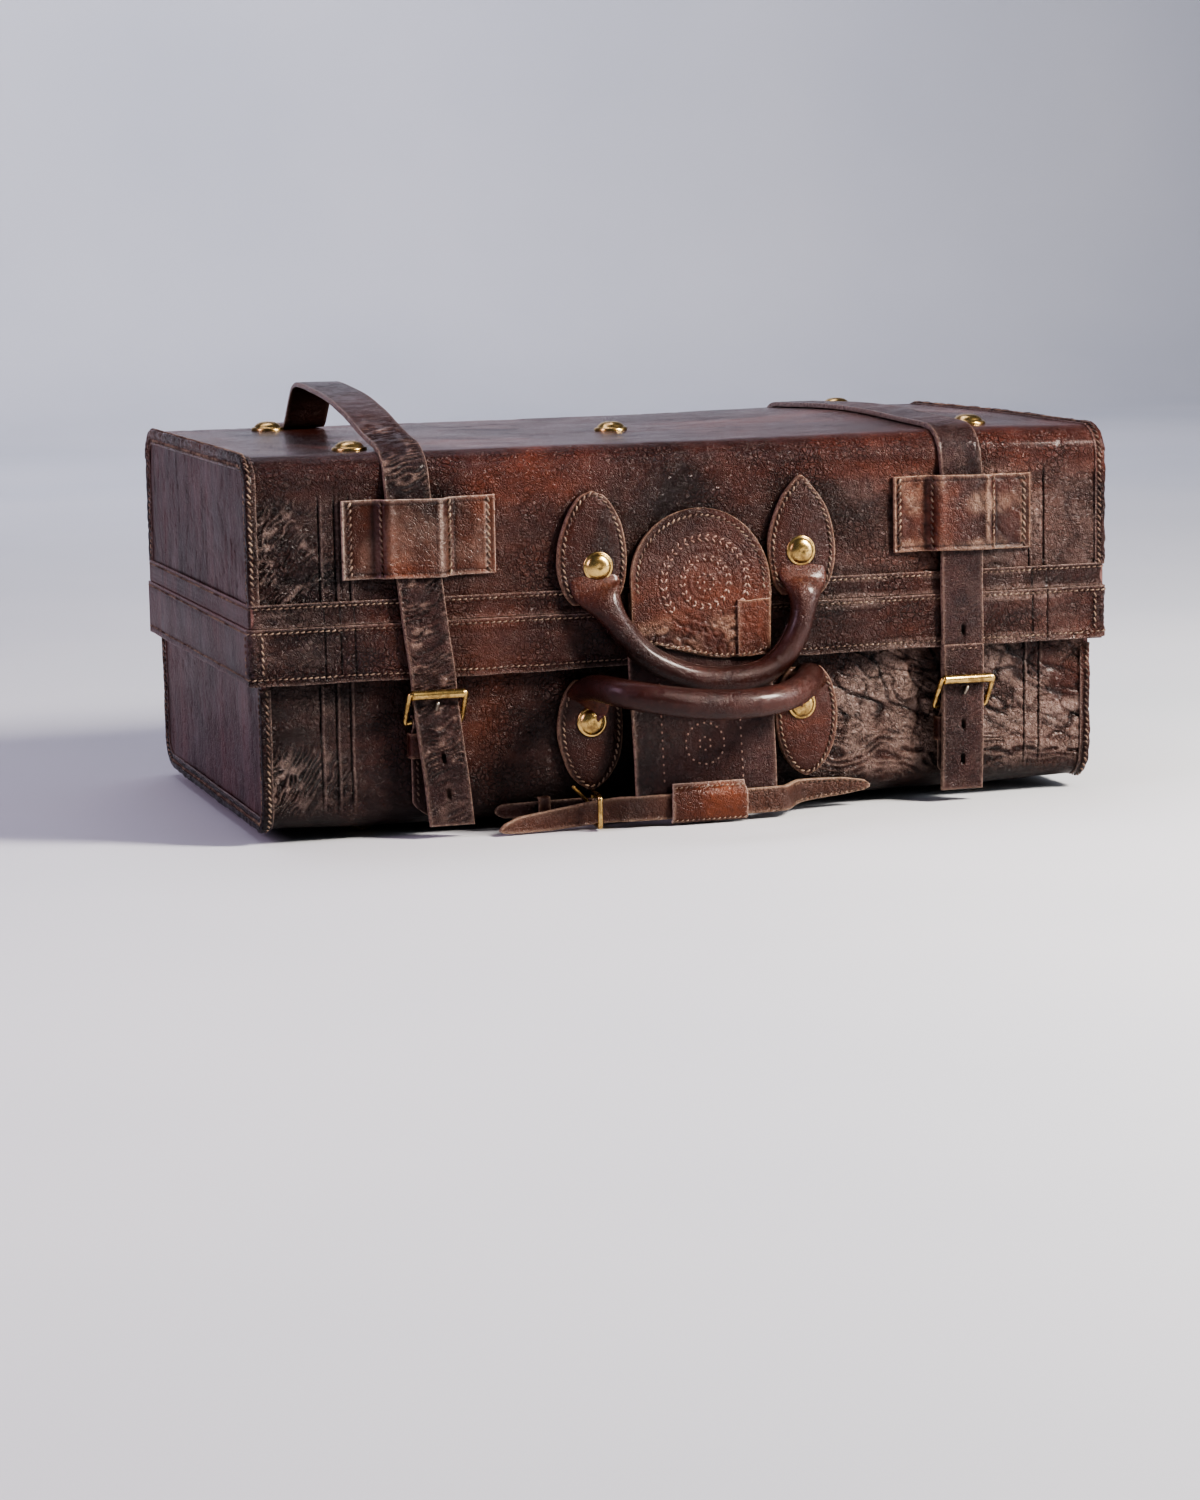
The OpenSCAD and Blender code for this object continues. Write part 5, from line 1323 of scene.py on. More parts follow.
def closure():
    """The round-topped tooled disc, its tab and its stitches."""
    low, high = node_box("closure_disc")
    middle, r = DISC_X, (high[0] - low[0]) / 2

    def face(height):
        """The disc's front: it lies on the tongue below and steps back to the lid above."""
        step = bump_mask(height, 146, 186)
        return low[1] * (1 - step) + (LID_FRONT - 3.4) * step

    centre_z = high[2] - r
    rise = np.radians(np.concatenate([np.linspace(0, 80, 46), [82, 84, 86, 87.5, 88.6, 89.4, 89.9]]))
    z = np.concatenate([np.linspace(low[2], centre_z, 56)[:-1], centre_z + r * np.sin(rise)])
    half = np.where(z < centre_z, r, r * np.sqrt(np.maximum(1 - ((z - centre_z) / r) ** 2, 1e-4)))
    u = np.concatenate([[-1, -0.99, -0.975], np.linspace(-0.95, 0.95, 101), [0.975, 0.99, 1]])
    outer = np.empty((len(z), len(u), 3))
    outer[..., 0] = middle + u * half[:, None]
    foot = np.interp(outer[0, :, 0], [-45, -36, -20, 0, 20, 36, 52], [121, 117, 112, 107, 103.5, 104.5, 108])
    foot = foot + 1.2 * noise(outer[0, :, 0] / 5, 1.5, 0, 121)
    share = np.clip((z - low[2]) / (centre_z - low[2]), 0, 1)[:, None]
    outer[..., 2] = np.where(z[:, None] < centre_z, foot + share * (centre_z - foot), z[:, None])
    outer[..., 1] = face(outer[..., 2])
    x, zz = outer[..., 0], outer[..., 2]
    hub = (middle + 3, centre_z)
    away = np.sqrt((x - middle) ** 2 + (np.maximum(zz, centre_z) - centre_z) ** 2)
    from_hub = np.hypot(x - hub[0], zz - hub[1])
    deep = 0.4 * np.exp(-((away - (r - 4.6)) / 0.8) ** 2) * bump_mask(zz, 150, 156)
    deep = deep + 0.35 * groove(from_hub, [24.6, 31.4, 12.4, 18.6, 8.4], 0.7)
    deep = deep + 0.3 * swell(x / 14, zz / 14, 0, 126)
    rough = 1 - bump_mask(zz + 0.12 * (middle - x), 124, 140)
    cracks = rough * crumpled(x, 0 * x, zz, 4.0, 123, 25, 1.3)
    patch_zone = 0.35 * (1 - rough) * crumpled(x, 0 * x, zz, 3.4, 137, 0, 1.2) * bump_mask(
        noise(x / 17, zz / 13, 0, 138), 0.0, 0.4)
    deep = deep + 1.1 * cracks + 0.6 * patch_zone
    # painted shade in the cracks; painted highlight on the ridge tops of the disc's crumpled lower part
    crack = np.clip(0.9 * cracks + 0.8 * patch_zone, 0, 1)
    highlight_patches = bump_mask(noise(x / 12, zz / 9, 0, 140), -0.2, 0.6)
    worn_and_lit = 0.55 * rough * (1 - crack) ** 2 * highlight_patches
    shape = plate(Shape(), outer, FORWARD, 2.1, r=0.8, depth=deep, crack=crack, worn_and_lit=worn_and_lit)
    add_mesh("closure_disc_hide", shape, trim_hide, "lid", ["closure_disc"], flip=True)
    seams = Shape()
    a = np.radians(np.linspace(-8, 188, 90))
    line = np.stack([middle + (r - 4.6) * np.cos(a), np.zeros(90), centre_z + (r - 4.6) * np.sin(a)], 1)
    line[:, 1] = face(line[:, 2]) + 0.3
    stitches(seams, line, FORWARD, pitch=3.8, slant=28, seed=125)
    # tooled rings: pairs of short strokes that meet in points, and a ring of dots in the middle, in a light
    # colour that paints their highlights
    tooling = Shape()
    for radius, gap, stroke, low_angle in ((28.0, 1.25, 3.3, -42), (15.5, 1.1, 2.7, -90)):
        for way in (-1, 1):
            a = np.radians(np.linspace(low_angle, 180 - low_angle, 120))
            ring = np.stack([hub[0] + (radius + way * gap) * np.cos(a), np.zeros(120),
                             hub[1] + (radius + way * gap) * np.sin(a)], 1)
            ring[:, 1] = face(ring[:, 2]) + 0.25
            pitch = 4.9 * (radius + way * gap) / radius
            stitches(tooling, ring, FORWARD, pitch=pitch, length=stroke,
                     width=0.62, slant=38 * way, seed=139 + way)
    dots(tooling, hub, 5.4, low[1] + 0.25, 3.4)
    dots(tooling, hub, 1.0, low[1] + 0.25, 3.2)
    add_mesh("closure_disc_tooling", tooling, tooled_highlight_hide, "lid")
    # square tab sewn over the disc's lower corner
    tab_x = spaced(22, 1.0, 0.7) + middle + r - 23
    tab_z = spaced(36, 1.0, 0.7) + 105
    tab = np.empty((len(tab_z), len(tab_x), 3))
    tab[..., 0], tab[..., 2] = tab_x, tab_z[:, None] + 0.7 * noise(tab_x / 5, 0.5, 0, 127)
    tab[..., 1] = low[1] - 1.2
    deep = 0.55 * crease(tab[..., 0], 0 * tab[..., 0], tab[..., 2], 4.0, 128, 0.5)
    shape = plate(Shape(), tab, FORWARD, 1.2, r=0.5, depth=deep)
    add_mesh("closure_tab", shape, trim_hide, "lid", flip=True)
    line = np.array([(middle - 40, 118.5), (middle - 22, 113.6), (middle - 2, 108.6), (middle + 16, 105.6),
                     (middle + 33, 106.4), (middle + r - 3, 109.6)])
    line = cut_corners(line, 2)
    line = np.stack([line[:, 0], np.full(len(line), low[1] + 0.2), line[:, 1]], 1)
    line[:, 1] -= 1.2 * bump_mask(line[:, 0], middle + r - 24, middle + r - 22)
    stitches(seams, line, FORWARD, pitch=3.6, slant=32, seed=129)
    add_mesh("closure_stitches", seams, pale_thread, "lid")


def closing_tongue():
    """The wide tongue that hangs from the lid in front of the base, and its tooling."""
    low, high = node_box("closure_tongue")
    middle, thick = DISC_X, 2.6
    face = node_box("lid_band_lower")[0][1] - 0.3
    plan = cut_corners([(face, 148), (face, RIM + 6), (face, RIM), (face - 4.2, 62), (face - 9, 24),
                        (face - 9, 16), (face - 9, 14)], 2)
    total = lengths(plan)[-1]
    s = spaced(total, 1.25, 0.8)
    at, t = along(plan, s)
    xs = spaced(high[0] - low[0], 1.2, 0.8) + low[0]
    columns = xs + 0.9 * noise(s / 34, 2.2, 0, 131)[:, None]
    outer, normals = yz_sheet(at + turned(t) * thick, turned(t), columns)
    outer[..., 1] -= 2.2 * bump_mask(-(xs - middle), 34, 48)[None] * (1 - bump_mask(outer[..., 2], 40, 96))
    x, zz = outer[..., 0], outer[..., 2]
    deep = 0.35 * groove(np.hypot(x - middle, zz - 50.6), [9.6, 16.4], 0.6)
    cracks = crumpled(x, 0 * x, zz, 4.2, 133, 8, 2.0) * (0.3 + 0.4 * bump_mask(np.abs(x - middle), 20, 40))
    deep = deep + 0.6 * cracks + 0.3 * swell(x / 16, zz / 16, 0, 134)
    # painted shade: the tongue's crease valleys are darkened
    shape = plate(Shape(), outer, normals, thick, r=0.9, depth=deep, crack=0.8 * cracks)
    add_mesh("closure_tongue_hide", shape, strap_hide, "lid", ["closure_tongue"])

    def tongue_face(height):
        return np.interp(height, plan[::-1, 1], plan[::-1, 0]) - thick + 0.3

    # tooled dots and dashes, in the light colour that paints their highlights
    tooling = Shape()
    dots(tooling, (middle, 50.6), 13, tongue_face, 4.5)
    dots(tooling, (middle, 50.6), 4, tongue_face, 3.8)
    height = np.linspace(26, 92, 40)
    for column in (-28.5, 24.5):
        line = np.stack([np.full(40, middle + column), tongue_face(height), height], 1)
        stitches(tooling, line, FORWARD, pitch=5.0, length=1.8, width=0.6,
                 slant=0, seed=136)
    add_mesh("closure_tongue_tooling", tooling, tooled_highlight_hide, "lid")


def tongue_loop():
    """The patch at the tongue's foot that the belt passes behind."""
    middle = DISC_X
    low, high = node_box("tongue_loop")
    belt_low, belt_high = node_box("belt")
    back_face, out_face = high[1] - 0.4, low[1]
    plan = cut_corners([(back_face - 2.2, high[2]), (back_face - 2.4, belt_high[2] + 3.6),
                        (out_face, belt_high[2] + 0.6), (out_face, belt_low[2] - 0.8),
                        (back_face - 2.6, belt_low[2] - 2.6)], 2)
    s = spaced(lengths(plan)[-1], 1.1, 0.8)
    at, t = along(plan, s)
    xs = spaced(high[0] - low[0] + 3, 1.2, 0.8) + low[0] - 1.5
    columns = middle + (xs - middle) * (1 - 0.05 * bump_mask(at[:, 1], 18, 27))[:, None]
    outer, normals = yz_sheet(at, turned(t), columns)
    crown = bump_mask(23 - np.abs(at[:, 1] - 12), 12, 16)[:, None]
    outer[..., 1] -= 0.8 * (1 - ((xs - middle) / 26) ** 2)[None] * crown
    cross = np.minimum(np.abs((outer[..., 0] - middle) * 0.42 - (outer[..., 2] - 13)),
                       np.abs((outer[..., 0] - middle) * 0.42 + (outer[..., 2] - 13)))
    deep = 0.3 * np.exp(-(cross / 0.8) ** 2) + 0.3 * swell(outer[..., 0] / 9, outer[..., 2] / 9, 0, 141)
    shape = plate(Shape(), outer, normals, 1.6, r=0.8, depth=deep)
    add_mesh("tongue_loop_hide", shape, saddle_hide, "lid", ["tongue_loop"])
    seams = Shape()
    for row in (3.2, s[-1] - 3.6):
        j = int(np.argmin(np.abs(s - row)))
        stitches(seams, outer[j, 3:-3] - normals[j, 3:-3] * 0.1, normals[j, 3:-3], pitch=3.4, slant=20,
                 width=0.5, length=2.6, seed=143 + j)
    add_mesh("tongue_loop_stitches", seams, pale_thread, "lid")


# ---- belt ----
def upright_ribbon(plan, places, lows, highs, thick, seed, crinkle):
    """A strip along a plan path (x, y). At places along it, from 0 to 1, its edges lie at lows and highs."""
    s = spaced(lengths(plan)[-1], 1.3, 0.8)
    at, t = along(plan, s)
    low, high = np.interp(s / s[-1], places, lows), np.interp(s / s[-1], places, highs)
    v = np.concatenate([[0, 0.02, 0.05, 0.09], np.linspace(0.14, 0.86, 11), [0.91, 0.95, 0.98, 1]])
    outer, normals = xy_sheet(at + turned(t) * thick / 2, turned(t), low[:, None] + (high - low)[:, None] * v)
    return outer, normals, cross_crinkles(s, v * 15, seed, crinkle), v


def belt_parts():
    """The belt, its chape and its keeper."""
    low, high = node_box("belt")
    y_mid = low[1] + 1.5
    anchor = high[1] - 1.5
    plan = cut_corners([(-134, y_mid + 4.6), (-118, y_mid + 7.2), (-100, y_mid + 8), (-72, y_mid + 8),
                        (-60, y_mid + 5), (-48, y_mid), (53, y_mid), (58, y_mid + 3.5), (66, y_mid + 14),
                        (76, anchor), (122, anchor)], 2)

    places = [0, 0.012, 0.05, 0.13, 0.25, 0.3, 0.75, 0.8, 0.93, 0.985, 1]
    low_edge = [2.9, 1.6, 0.9, 1.2, 3.6, 4.4, 4.3, 5.5, 8.5, 10.6, 12.5]
    high_edge = [4.5, 7.6, 11.5, 14.2, 18.6, 20.4, 20.7, 21, 19.8, 17.4, 14.4]
    thick = 3.0
    outer, normals, deep, v = upright_ribbon(plan, places, low_edge, high_edge, thick, 151, 0.55)
    for row in (2.6, 13.4):
        deep = deep + 0.3 * np.exp(-((v * 16 - row) / 0.8) ** 2)[None]
    shape = plate(Shape(), outer, normals, thick, r=0.8, depth=deep)
    add_mesh("belt_hide", shape, raw_hide, "base", ["belt"], flip=True)
    seams = Shape()
    right = outer[..., 0].mean(1) > 66
    for row in (0.16, 0.84):
        j = int(np.argmin(np.abs(v - row)))
        stitches(seams, outer[right, j][:-4] - normals[right, j][:-4] * 0.1, normals[right, j][:-4],
                 pitch=3.6, width=0.45, length=2.6, seed=153)

    low, high = node_box("belt_chape")
    y = BASE_FRONT - 1.2
    fold = PIVOTS["belt_buckle_swing"]
    plan = cut_corners([(low[0], y), (low[0] + 20, y), (fold[0] - 9, y), (fold[0] - 4, y - 0.6),
                        (fold[0] - 1, fold[1] - 3.3)], 2)

    thick = 2.4
    outer, normals, deep, _ = upright_ribbon(plan, [0, 0.02, 0.08, 1], [12.0, 10.4, 8.4, 7.0],
                                             [13.5, 16.0, 17.6, 18.2], thick, 155, 0.4)
    shape = plate(Shape(), outer, normals, thick, r=0.7, depth=deep)
    # the fold round the buckle's upright bar
    turn = np.radians(np.linspace(-100, 150, 26))
    round_bar = np.stack([np.cos(turn), np.sin(turn)], 1)
    for z0, z1 in ((7.0, 9.6), (15.4, 18.2)):
        cuff, away = xy_sheet(fold[:2] + 3.1 * round_bar, round_bar, np.linspace(z0, z1, 4))
        plate(shape, cuff[::-1], away[::-1], 1.0, r=0.3)
    add_mesh("belt_chape_hide", shape, strap_hide, "base", ["belt_chape"], flip=True)
    low, high = node_box("belt_keeper")
    ring = Shape()
    plan = cut_corners([(BASE_FRONT - 0.3, low[2]), (BASE_FRONT - 3.4, low[2]),
                        (BASE_FRONT - 4.6, low[2] + 1.2),
                        (BASE_FRONT - 4.6, high[2] - 1.2), (BASE_FRONT - 3.4, high[2]),
                        (BASE_FRONT - 0.3, high[2])], 2)
    keeper_strip(ring, plan, low[0], high[0], 1.3, 157)
    add_mesh("belt_keeper_hide", ring, trim_hide, "base", ["belt_keeper"])
    add_mesh("belt_stitches", seams, dark_thread, "base")


def keeper_strip(shape, plan, x0, x1, thick, seed):
    """A narrow strip across a strap: follows a (y, z) plan and is as wide as x0 to x1."""
    s = spaced(lengths(plan)[-1], 1.2, 0.6)
    outer, normals = swept(plan, s, spaced(x1 - x0, 1.4, 0.6) + x0, 1)
    normals *= np.sign(-normals[len(s) // 2, 0, 1])
    deep = 0.2 * swell(outer[..., 0] / 6, outer[..., 2] / 6, 0, seed)
    plate(shape, outer[::-1], normals[::-1], thick, r=0.6, depth=deep[::-1])


# ---- strap buckles, their chapes and keepers ----
def chapes():
    """The pointed chapes that fold round the buckles' heel bars, and the strap keepers."""
    seams, keepers, chape_shape = Shape(), Shape(), Shape()
    r_fold, wide, thick = 4.3, 27.0, 2.4
    face = BASE_FRONT - thick
    for name, x in (("left", -172.0), ("right", RIGHT_X)):
        heel = PIVOTS[f"{name}_buckle_swing"]
        path = [(BASE_FRONT - 0.4, heel[2] + 3.2), (heel[1] + 2.2, heel[2] + 4.2), (heel[1], heel[2] + r_fold),
                (heel[1] - 3.2, heel[2] + 2.9), (heel[1] - r_fold, heel[2]), (heel[1] - 3.6, heel[2] - 3),
                (face - 0.3, heel[2] - 8.5), (face, heel[2] - 14), (face, 40), (face, 20), (face, 12.6)]
        path = cut_corners(path, 2)
        s = spaced(lengths(path)[-1], 1.4, 0.8)
        at, t = along(path, s)
        width = np.interp(s[-1] - s, [0, 0.3, 3, 7, 10, 400], [0.06, 0.16, 0.5, 0.86, 1, 1])
        w = spaced(wide, 1.3, 0.8) - wide / 2
        slot = np.abs(w)[None] - 3.1
        outer, normals = yz_sheet(at, turned(t), x + w * width[:, None])
        fold_zone = bump_mask(at[:, 1], heel[2] - 4, heel[2] - 2.5)[:, None]
        deep = 1.3 * fold_zone * (1 - bump_mask(slot, -0.6, 0.4))
        deep = deep + 0.35 * groove(w, [0, -10.4, 10.4], 0.8)[None]
        deep = deep + 0.3 * crease(outer[..., 0], outer[..., 1], outer[..., 2], 6, 161, 0.3)
        plate(chape_shape, outer, normals, 1.5, r=0.7, depth=deep)
        low_part = at[:, 1] < heel[2] - 12
        for col, cut in ((0.0, 4), (-10.4, 10), (10.4, 10)):
            j = int(np.argmin(np.abs(w - col)))
            stitches(seams, outer[low_part, j][:-cut] - normals[low_part, j][:-cut] * 0.2,
                     normals[low_part, j][:-cut], pitch=3.8, seed=163 + int(col), slant=24)
        z1 = node_box("strap_keepers")[1][2] - (0 if name == "left" else 10.5)
        half, out = wide / 2 + 2.4, BASE_FRONT - 8.6
        plan = cut_corners([(x - half, BASE_FRONT - 0.4), (x - half - 0.4, out + 3), (x - half + 1.6, out),
                            (x + half - 1.6, out), (x + half + 0.4, out + 3), (x + half, BASE_FRONT - 0.4)], 2)
        s = spaced(lengths(plan)[-1], 1.3, 0.6)
        at, t = along(plan, s)
        z = spaced(16, 1.4, 0.7) + z1 - 16
        outer, normals = xy_sheet(at, turned(t), z)
        deep = 0.25 * swell(s[:, None] / 8, z[None] / 8, 0, 165) + 0.3 * groove(z, [z1 - 2.4, z1 - 13.6], 0.7)
        plate(keepers, outer, normals, 1.7, r=0.7, depth=deep)
    add_mesh("buckle_chapes_hide", chape_shape, strap_hide, "base", ["buckle_chapes"])
    add_mesh("strap_keepers_hide", keepers, trim_hide, "base", ["strap_keepers"], flip=True)
    add_mesh("chape_stitches", seams, dark_thread, "base")


def closed_tube(shape, points, a, b, across):
    """A closed loop of bar. across is the loop plane's normal; a lies in the plane and b across it."""
    sides, rounds = 14, 3
    p = np.array(points, float)
    p = np.stack([p, p * 0.5 + np.roll(p, -1, axis=0) * 0.5], 1).reshape(-1, 3)
    for _ in range(rounds):
        nxt = np.roll(p, -1, axis=0)
        p = np.stack([0.75 * p + 0.25 * nxt, 0.25 * p + 0.75 * nxt], 1).reshape(-1, 3)
    t = np.roll(p, -1, axis=0) - np.roll(p, 1, axis=0)
    t /= np.linalg.norm(t, axis=1, keepdims=True)
    n = np.broadcast_to(np.array(across, float), p.shape)
    side = np.cross(t, n)
    angle = np.linspace(0, 2 * math.pi, sides, endpoint=False)
    ring = (p[:, None] + side[:, None] * (a * np.cos(angle))[None, :, None]
            + n[:, None] * (b * np.sin(angle))[None, :, None])
    return shape.add(ring, grid_quads(len(p), sides, closed_rows=True, closed_cols=True), 0.0)


def strap_buckle(side):
    """A strap buckle's bent frame and its roller."""
    heel = PIVOTS[f"{side}_buckle_swing"]
    roller = PIVOTS[f"{side}_roller_spin"]
    half = (node_box(f"buckle_{side}_frame")[1][0] - node_box(f"buckle_{side}_frame")[0][0]) / 2 - 1.7
    up = roller - heel
    reach = np.linalg.norm(up)
    up = up / reach
    across = np.cross([1.0, 0, 0], up)

    def at(dx, along_frame):
        return heel + np.array([dx, 0, 0]) + up * along_frame

    corners = [at(-half, -1.2), at(-half + 5, -0.3), at(half - 5, -0.3), at(half, -1.2),
               at(half + 0.2, reach / 2), at(half, reach + 1.0), at(half - 5, reach),
               at(-half + 5, reach), at(-half, reach + 1.0),
               at(-half - 0.2, reach / 2)]
    shape = closed_tube(Shape(), corners, 1.75, 1.6, across)
    add_mesh(f"buckle_{side}_bow", shape, brass, f"{side}_buckle", [f"buckle_{side}_frame"], sharp=60)
    low, high = node_box(f"buckle_{side}_roller")
    wide = high[0] - low[0] + 1.0
    profile = [(1.9, 0), (2.9, 0), (3.15, 0.35), (3.1, 1.0), (3.0, 2.2), (3.05, wide / 2), (3.0, wide - 2.2),
               (3.1, wide - 1.0), (3.15, wide - 0.35), (2.9, wide), (1.9, wide)]
    shape = Shape()
    lathe(shape, profile, (roller[0] - wide / 2, roller[1], roller[2]), (1, 0, 0), sides=32,
          wobble=0.02, seed=7)
    add_mesh(f"buckle_{side}_roller_sleeve", shape, brass, f"{side}_roller", [f"buckle_{side}_roller"])


def belt_buckle():
    """The belt buckle's frame, which turns about an upright bar."""
    low, high = node_box("belt_buckle_frame")
    heel = PIVOTS["belt_buckle_swing"]
    turn = math.radians(6)
    forward = np.array([-math.sin(turn), -math.cos(turn), 0])
    far = 22.0
    z0, z1 = low[2] + 1.4, high[2] - 1.4

    def at(out, z):
        return np.array([heel[0], heel[1], 0]) + forward * out + np.array([0, 0, z])

    corners = [at(0, z0), at(0, (z0 + z1) / 2), at(0, z1), at(far / 2, z1), at(far, z1), at(far, (z0 + z1) / 2),
               at(far, z0), at(far / 2, z0)]
    side = np.cross(forward, [0, 0, 1.0])
    shape = closed_tube(Shape(), corners, 1.8, 1.7, side)
    add_mesh("belt_buckle_bow", shape, brass, "belt_buckle", ["belt_buckle_frame"], sharp=60)


# ---- the inside ----
def linings():
    """Cloth-covered boards: they fill the space between the hide and the cavity."""
    skin = LEATHER + 0.05
    for part, profile, outward, half in (("lid", lid_profile(WALL), 1, LID_HALF),
                                         ("base", base_profile(WALL), -1, BASE_HALF)):
        total = lengths(profile)[-1]
        s = spaced(total, 5.0, 0.8)
        xs = spaced(2 * (half - WALL), 6.0, 0.8) - half + WALL
        outer, normals = swept(profile, s, xs, outward)
        x, y, z = outer[..., 0], outer[..., 1], outer[..., 2]
        pucker = 0.9 * swell(x / 60, y / 60, z / 40, 171) + 0.4 * crease(x, y, z, 28, 172, 0.2)
        shape = plate(Shape(), outer, -normals, WALL - skin, r=0.7, depth=0.9 - pucker)
        y = spaced(profile[:, 0].max() - profile[:, 0].min(), 5.0, 0.8) + profile[:, 0].min()
        y[0], y[-1] = y[0] + SLIVER, y[-1] - SLIVER
        if part == "lid":
            r = LID_EDGE_R - WALL
            z0 = RIM + 0 * y
            z1 = LID_TOP - WALL - corner_height(y, y[0] - SLIVER, y[-1] + SLIVER, r, r)
        else:
            z0 = BASE_BOTTOM + WALL + corner_height(y, y[0] - SLIVER, y[-1] + SLIVER, BASE_FRONT_R - WALL,
                                                    BASE_BACK_R - WALL)
            z1 = np.where(y < 150, LIP_TOP - 1.2, BACK_EDGE)
        for side in (-1, 1):
            grid = end_grid(y, z0, z1, 28, side * (half - WALL))
            pucker = 0.8 * swell(grid[..., 1] / 50, grid[..., 2] / 40, side, 173)
            grid_n = np.array([-side, 0, 0.0])
            order = slice(None, None, -1) if side > 0 else slice(None)
            plate(shape, grid[order], grid_n, WALL - skin, r=0.7, depth=(0.8 - pucker)[order])
        level_board = "top_board" if part == "lid" else "floor_board"
        boards = [f"{part}_{kind}" for kind in ("front_board", "back_board", "end_boards", level_board)]
        if part == "base":
            bend_verts(shape, warp_base)
        add_mesh(f"{part}_lining_cloth", shape, drill, part, [f"{part}_lining", *boards])


def lip_binding():
    """Hide turned over the lip that stands inside the lid, and its stitches."""
    t, deep_z = 0.6, 9.0
    seams, shape = Shape(), Shape()
    half, front, back = BASE_HALF, BASE_FRONT, 155.0
    plan = filleted([(-half, back), (-half, front), (half, front), (half, back)], [2.0, 2.0], 15)
    s = spaced(lengths(plan)[-1], 3.5, 0.8)
    at, t2 = along(plan, s)
    n = turned(t2)
    fold = cut_corners([(t, LIP_TOP - deep_z), (t, LIP_TOP - 2), (t, LIP_TOP + t), (-WALL - t, LIP_TOP + t),
                        (-WALL - t, LIP_TOP - 2), (-WALL - t, LIP_TOP - deep_z)], 2)
    w = spaced(lengths(fold)[-1], 1.3, 0.5)
    f, ft = along(fold, w)
    fn = -turned(ft)
    fn *= np.sign(fn[1, 0])
    wavy = 0.35 * noise(s / 16, 4.4, 0, 181)
    outer = np.empty((len(s), len(w), 3))
    outer[..., :2] = at[:, None] + n[:, None] * f[None, :, :1]
    outer[..., 2] = f[:, 1] + wavy[:, None] * (1 - bump_mask(f[:, 1], LIP_TOP - 9, LIP_TOP - 4))
    normals = np.empty_like(outer)
    normals[..., :2] = n[:, None] * fn[None, :, :1]
    normals[..., 2] = fn[:, 1]
    plate(shape, outer, normals, 0.55, r=0.3)
    add_mesh("base_lip_hide", shape, trim_hide, "base", ["base_lip_binding"], flip=True)
    stitch_rows(seams, outer, normals, w, [3.0, w[-1] - 3.0], 183, width=0.4, length=2.6)
    add_mesh("base_lip_stitches", seams, pale_thread, "base")


# ---- the back: hinges and strap anchors ----
def back_hardware():
    """Metals for the CAD's own hinges and prongs, and the rivet heads that anchor the straps."""
    brass_nodes = ("hinge_leaves_base", "hinge_leaves_lid", "hinge_rivets_base", "hinge_rivets_lid",
                   "belt_buckle_prong")
    steel_nodes = ("hinge_pins", "buckle_left_prong", "buckle_right_prong")
    for node in brass_nodes + steel_nodes:
        slots = frame["nodes"][node].data.materials
        slots.clear()
        slots.append(brass if node in brass_nodes else steel)
    shape = Shape()
    head = [(0.2, -0.6), (4.5, -0.6), (4.55, 0.3), (4.2, 0.8), (3.4, 1.4), (2.2, 1.85), (1.0, 2.0), (0.2, 2.0)]
    low, high = node_box("strap_anchor_rivets")
    for x in (LEFT_X, RIGHT_X):
        for z in (low[2] + 4.5, high[2] - 4.5):
            lathe(shape, head, (x, low[1], z), (0, 1, 0), sides=28, wobble=0.02, seed=3)
    add_mesh("strap_anchor_heads", shape, brass, "lid", ["strap_anchor_rivets"])


lid_shell()
base_shell()
lid_ends()
base_ends()
bindings()
bands()
straps()
saddle("saddle_left_hide", "saddle_left", LEFT_X + 2, (-228, -130), (-222.7, -204.5, -159.5, -134.5), 91,
       saddle_hide, 0.25)
saddle("saddle_right_hide", "saddle_right", RIGHT_X, (137, 233), (141, 161.8, 205.4, 228.4), 117,
       trim_hide, 0.9)
handle_patches()
handles()
studs()
closure()
closing_tongue()
tongue_loop()
belt_parts()
chapes()
strap_buckle("left")
strap_buckle("right")
belt_buckle()
linings()
lip_binding()
back_hardware()


# ---- floor, light and camera ----
def floor():
    """A pale floor that curves up into a backdrop."""
    run = cut_corners([(-6.0, 0.0), (3.2, 0.0), (4.4, 0.0), (4.6, 0.6), (4.6, 5.0)], 3)
    verts = [(x, y, z) for y, z in run for x in (-7.0, 7.0)]
    quads = [(2 * k, 2 * k + 1, 2 * k + 3, 2 * k + 2) for k in range(len(run) - 1)]
    mesh = bpy.data.meshes.new("floor")
    mesh.from_pydata(verts, [], quads)
    mesh.shade_smooth()
    material, tree, shader, at = node_tree("pale_paper")
    cloud = texture(tree, "ShaderNodeTexNoise", at, 1.5, Detail=3)
    tree.links.new(ramp(tree, cloud.outputs["Fac"], [(0.3, (0.60, 0.62, 0.65)), (0.7, (0.66, 0.67, 0.69))]),
                   shader.inputs["Base Color"])
    shader.inputs["Roughness"].default_value = 0.85
    mesh.materials.append(material)
    obj = bpy.data.objects.new("floor", mesh)
    bpy.context.scene.collection.objects.link(obj)


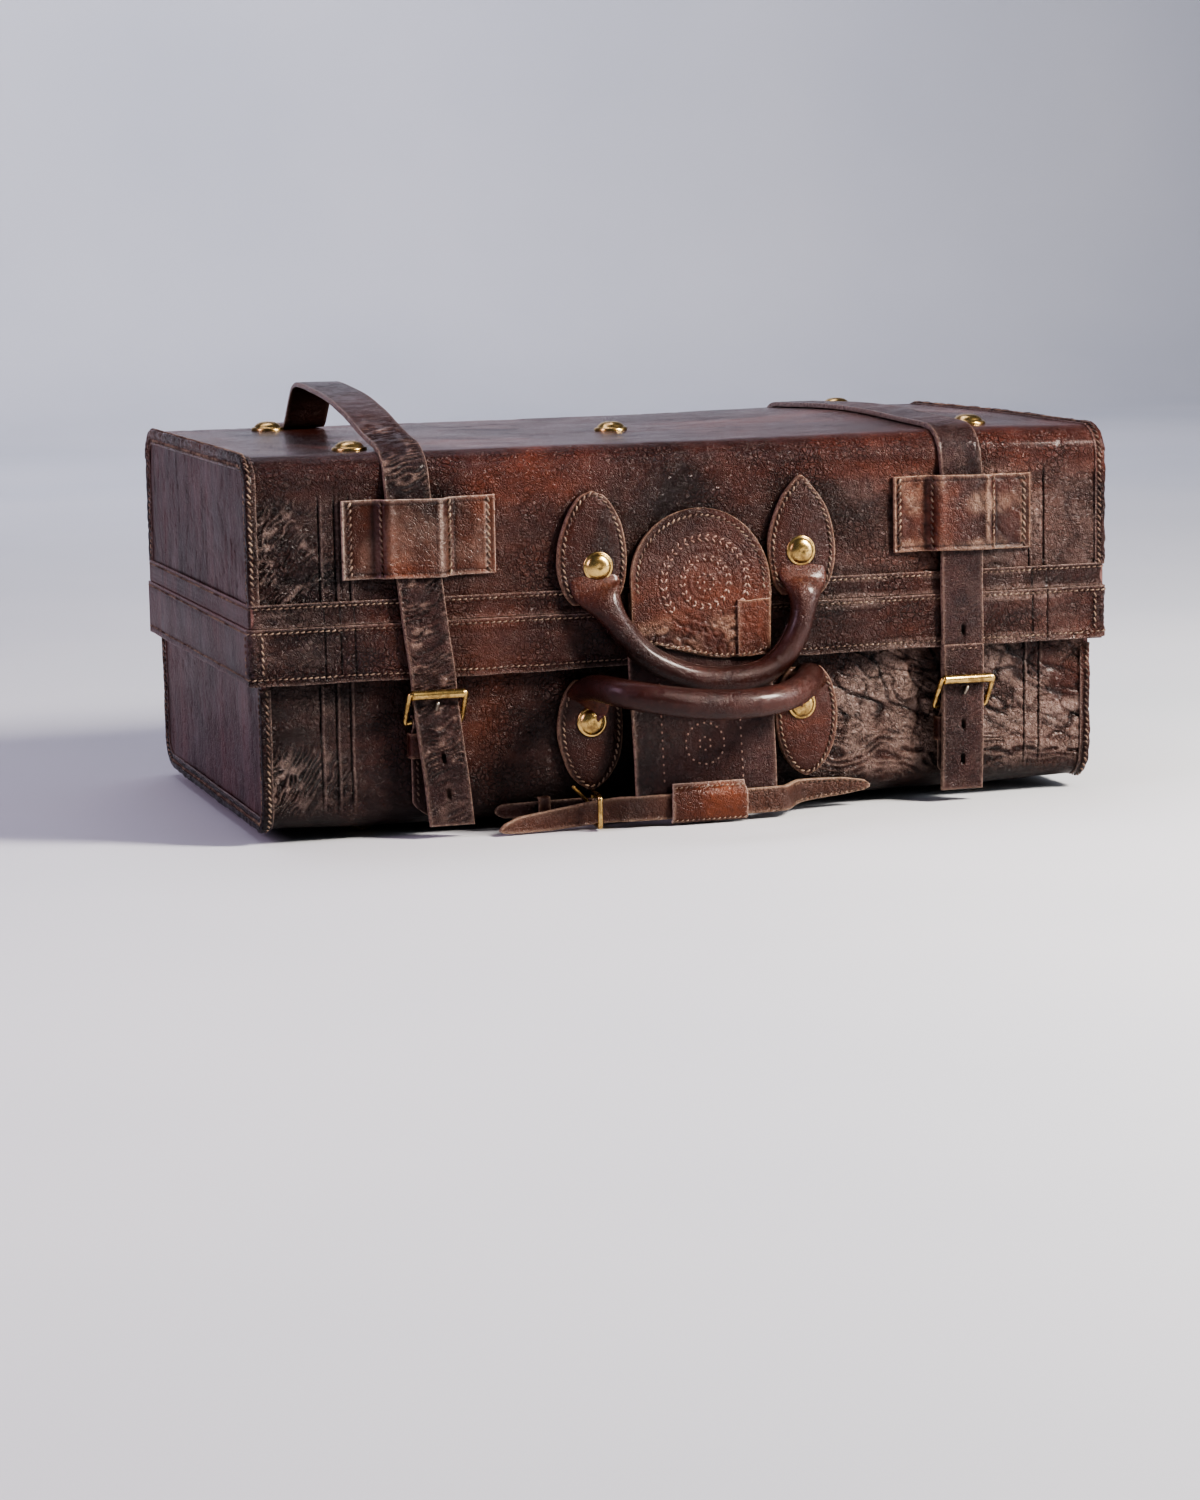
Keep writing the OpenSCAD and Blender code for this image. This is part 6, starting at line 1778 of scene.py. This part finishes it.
def area_light(name, place, aim, size, energy, colour):
    """A soft light that faces aim, for the studio."""
    light = bpy.data.lights.new(name, "AREA")
    light.shape = "RECTANGLE"
    light.size, light.size_y = size
    light.energy = energy
    light.color = colour
    obj = bpy.data.objects.new(name, light)
    obj.location = place
    obj.rotation_euler = (Vector(aim) - Vector(place)).to_track_quat("-Z", "Y").to_euler()
    bpy.context.scene.collection.objects.link(obj)


floor()
case_middle = (0.0, 0.0, 0.12)
area_light("key", (1.45, -1.35, 1.5), (0.1, -0.1, 0.1), (0.42, 0.7), 92, (1.0, 0.93, 0.85))
area_light("fill", (-2.3, -0.6, 1.3), case_middle, (0.9, 1.2), 23, (0.98, 0.76, 1.0))
area_light("side", (2.2, -1.3, 0.75), (0.15, -0.15, 0.1), (1.0, 1.0), 22, (0.92, 0.94, 1.0))
area_light("top", (-0.3, 0.7, 2.4), case_middle, (2.0, 1.0), 17, (0.86, 0.84, 1.0))
area_light("backdrop", (0.2, 2.4, 2.6), (0.4, 4.6, 0.9), (3.4, 0.8), 62, (0.86, 0.85, 1.0))
world = bpy.data.worlds.new("studio")
world.use_nodes = True
world.node_tree.nodes["Background"].inputs["Color"].default_value = (0.74, 0.80, 0.9, 1)
world.node_tree.nodes["Background"].inputs["Strength"].default_value = 0.13
bpy.context.scene.world = world
bpy.context.scene.view_settings.look = "AgX - High Contrast"

CAMERA_PLACE, CAMERA_AIM = (-0.7279, -2.2513, 0.385), (0.2997, 0.9419, -0.1516)
CAMERA_ROLL_DEGREES = -1.02
camera_data = bpy.data.cameras.new("camera")
camera_data.lens = 84.0
camera_data.sensor_width = 36.0
camera = bpy.data.objects.new("camera", camera_data)
camera.location = CAMERA_PLACE
aim = Vector(CAMERA_AIM).to_track_quat("-Z", "Y")
camera.rotation_mode = "QUATERNION"
camera.rotation_quaternion = aim @ Quaternion((0, 0, 1), math.radians(CAMERA_ROLL_DEGREES))
bpy.context.scene.collection.objects.link(camera)
bpy.context.scene.camera = camera

bpy.context.view_layer.update()
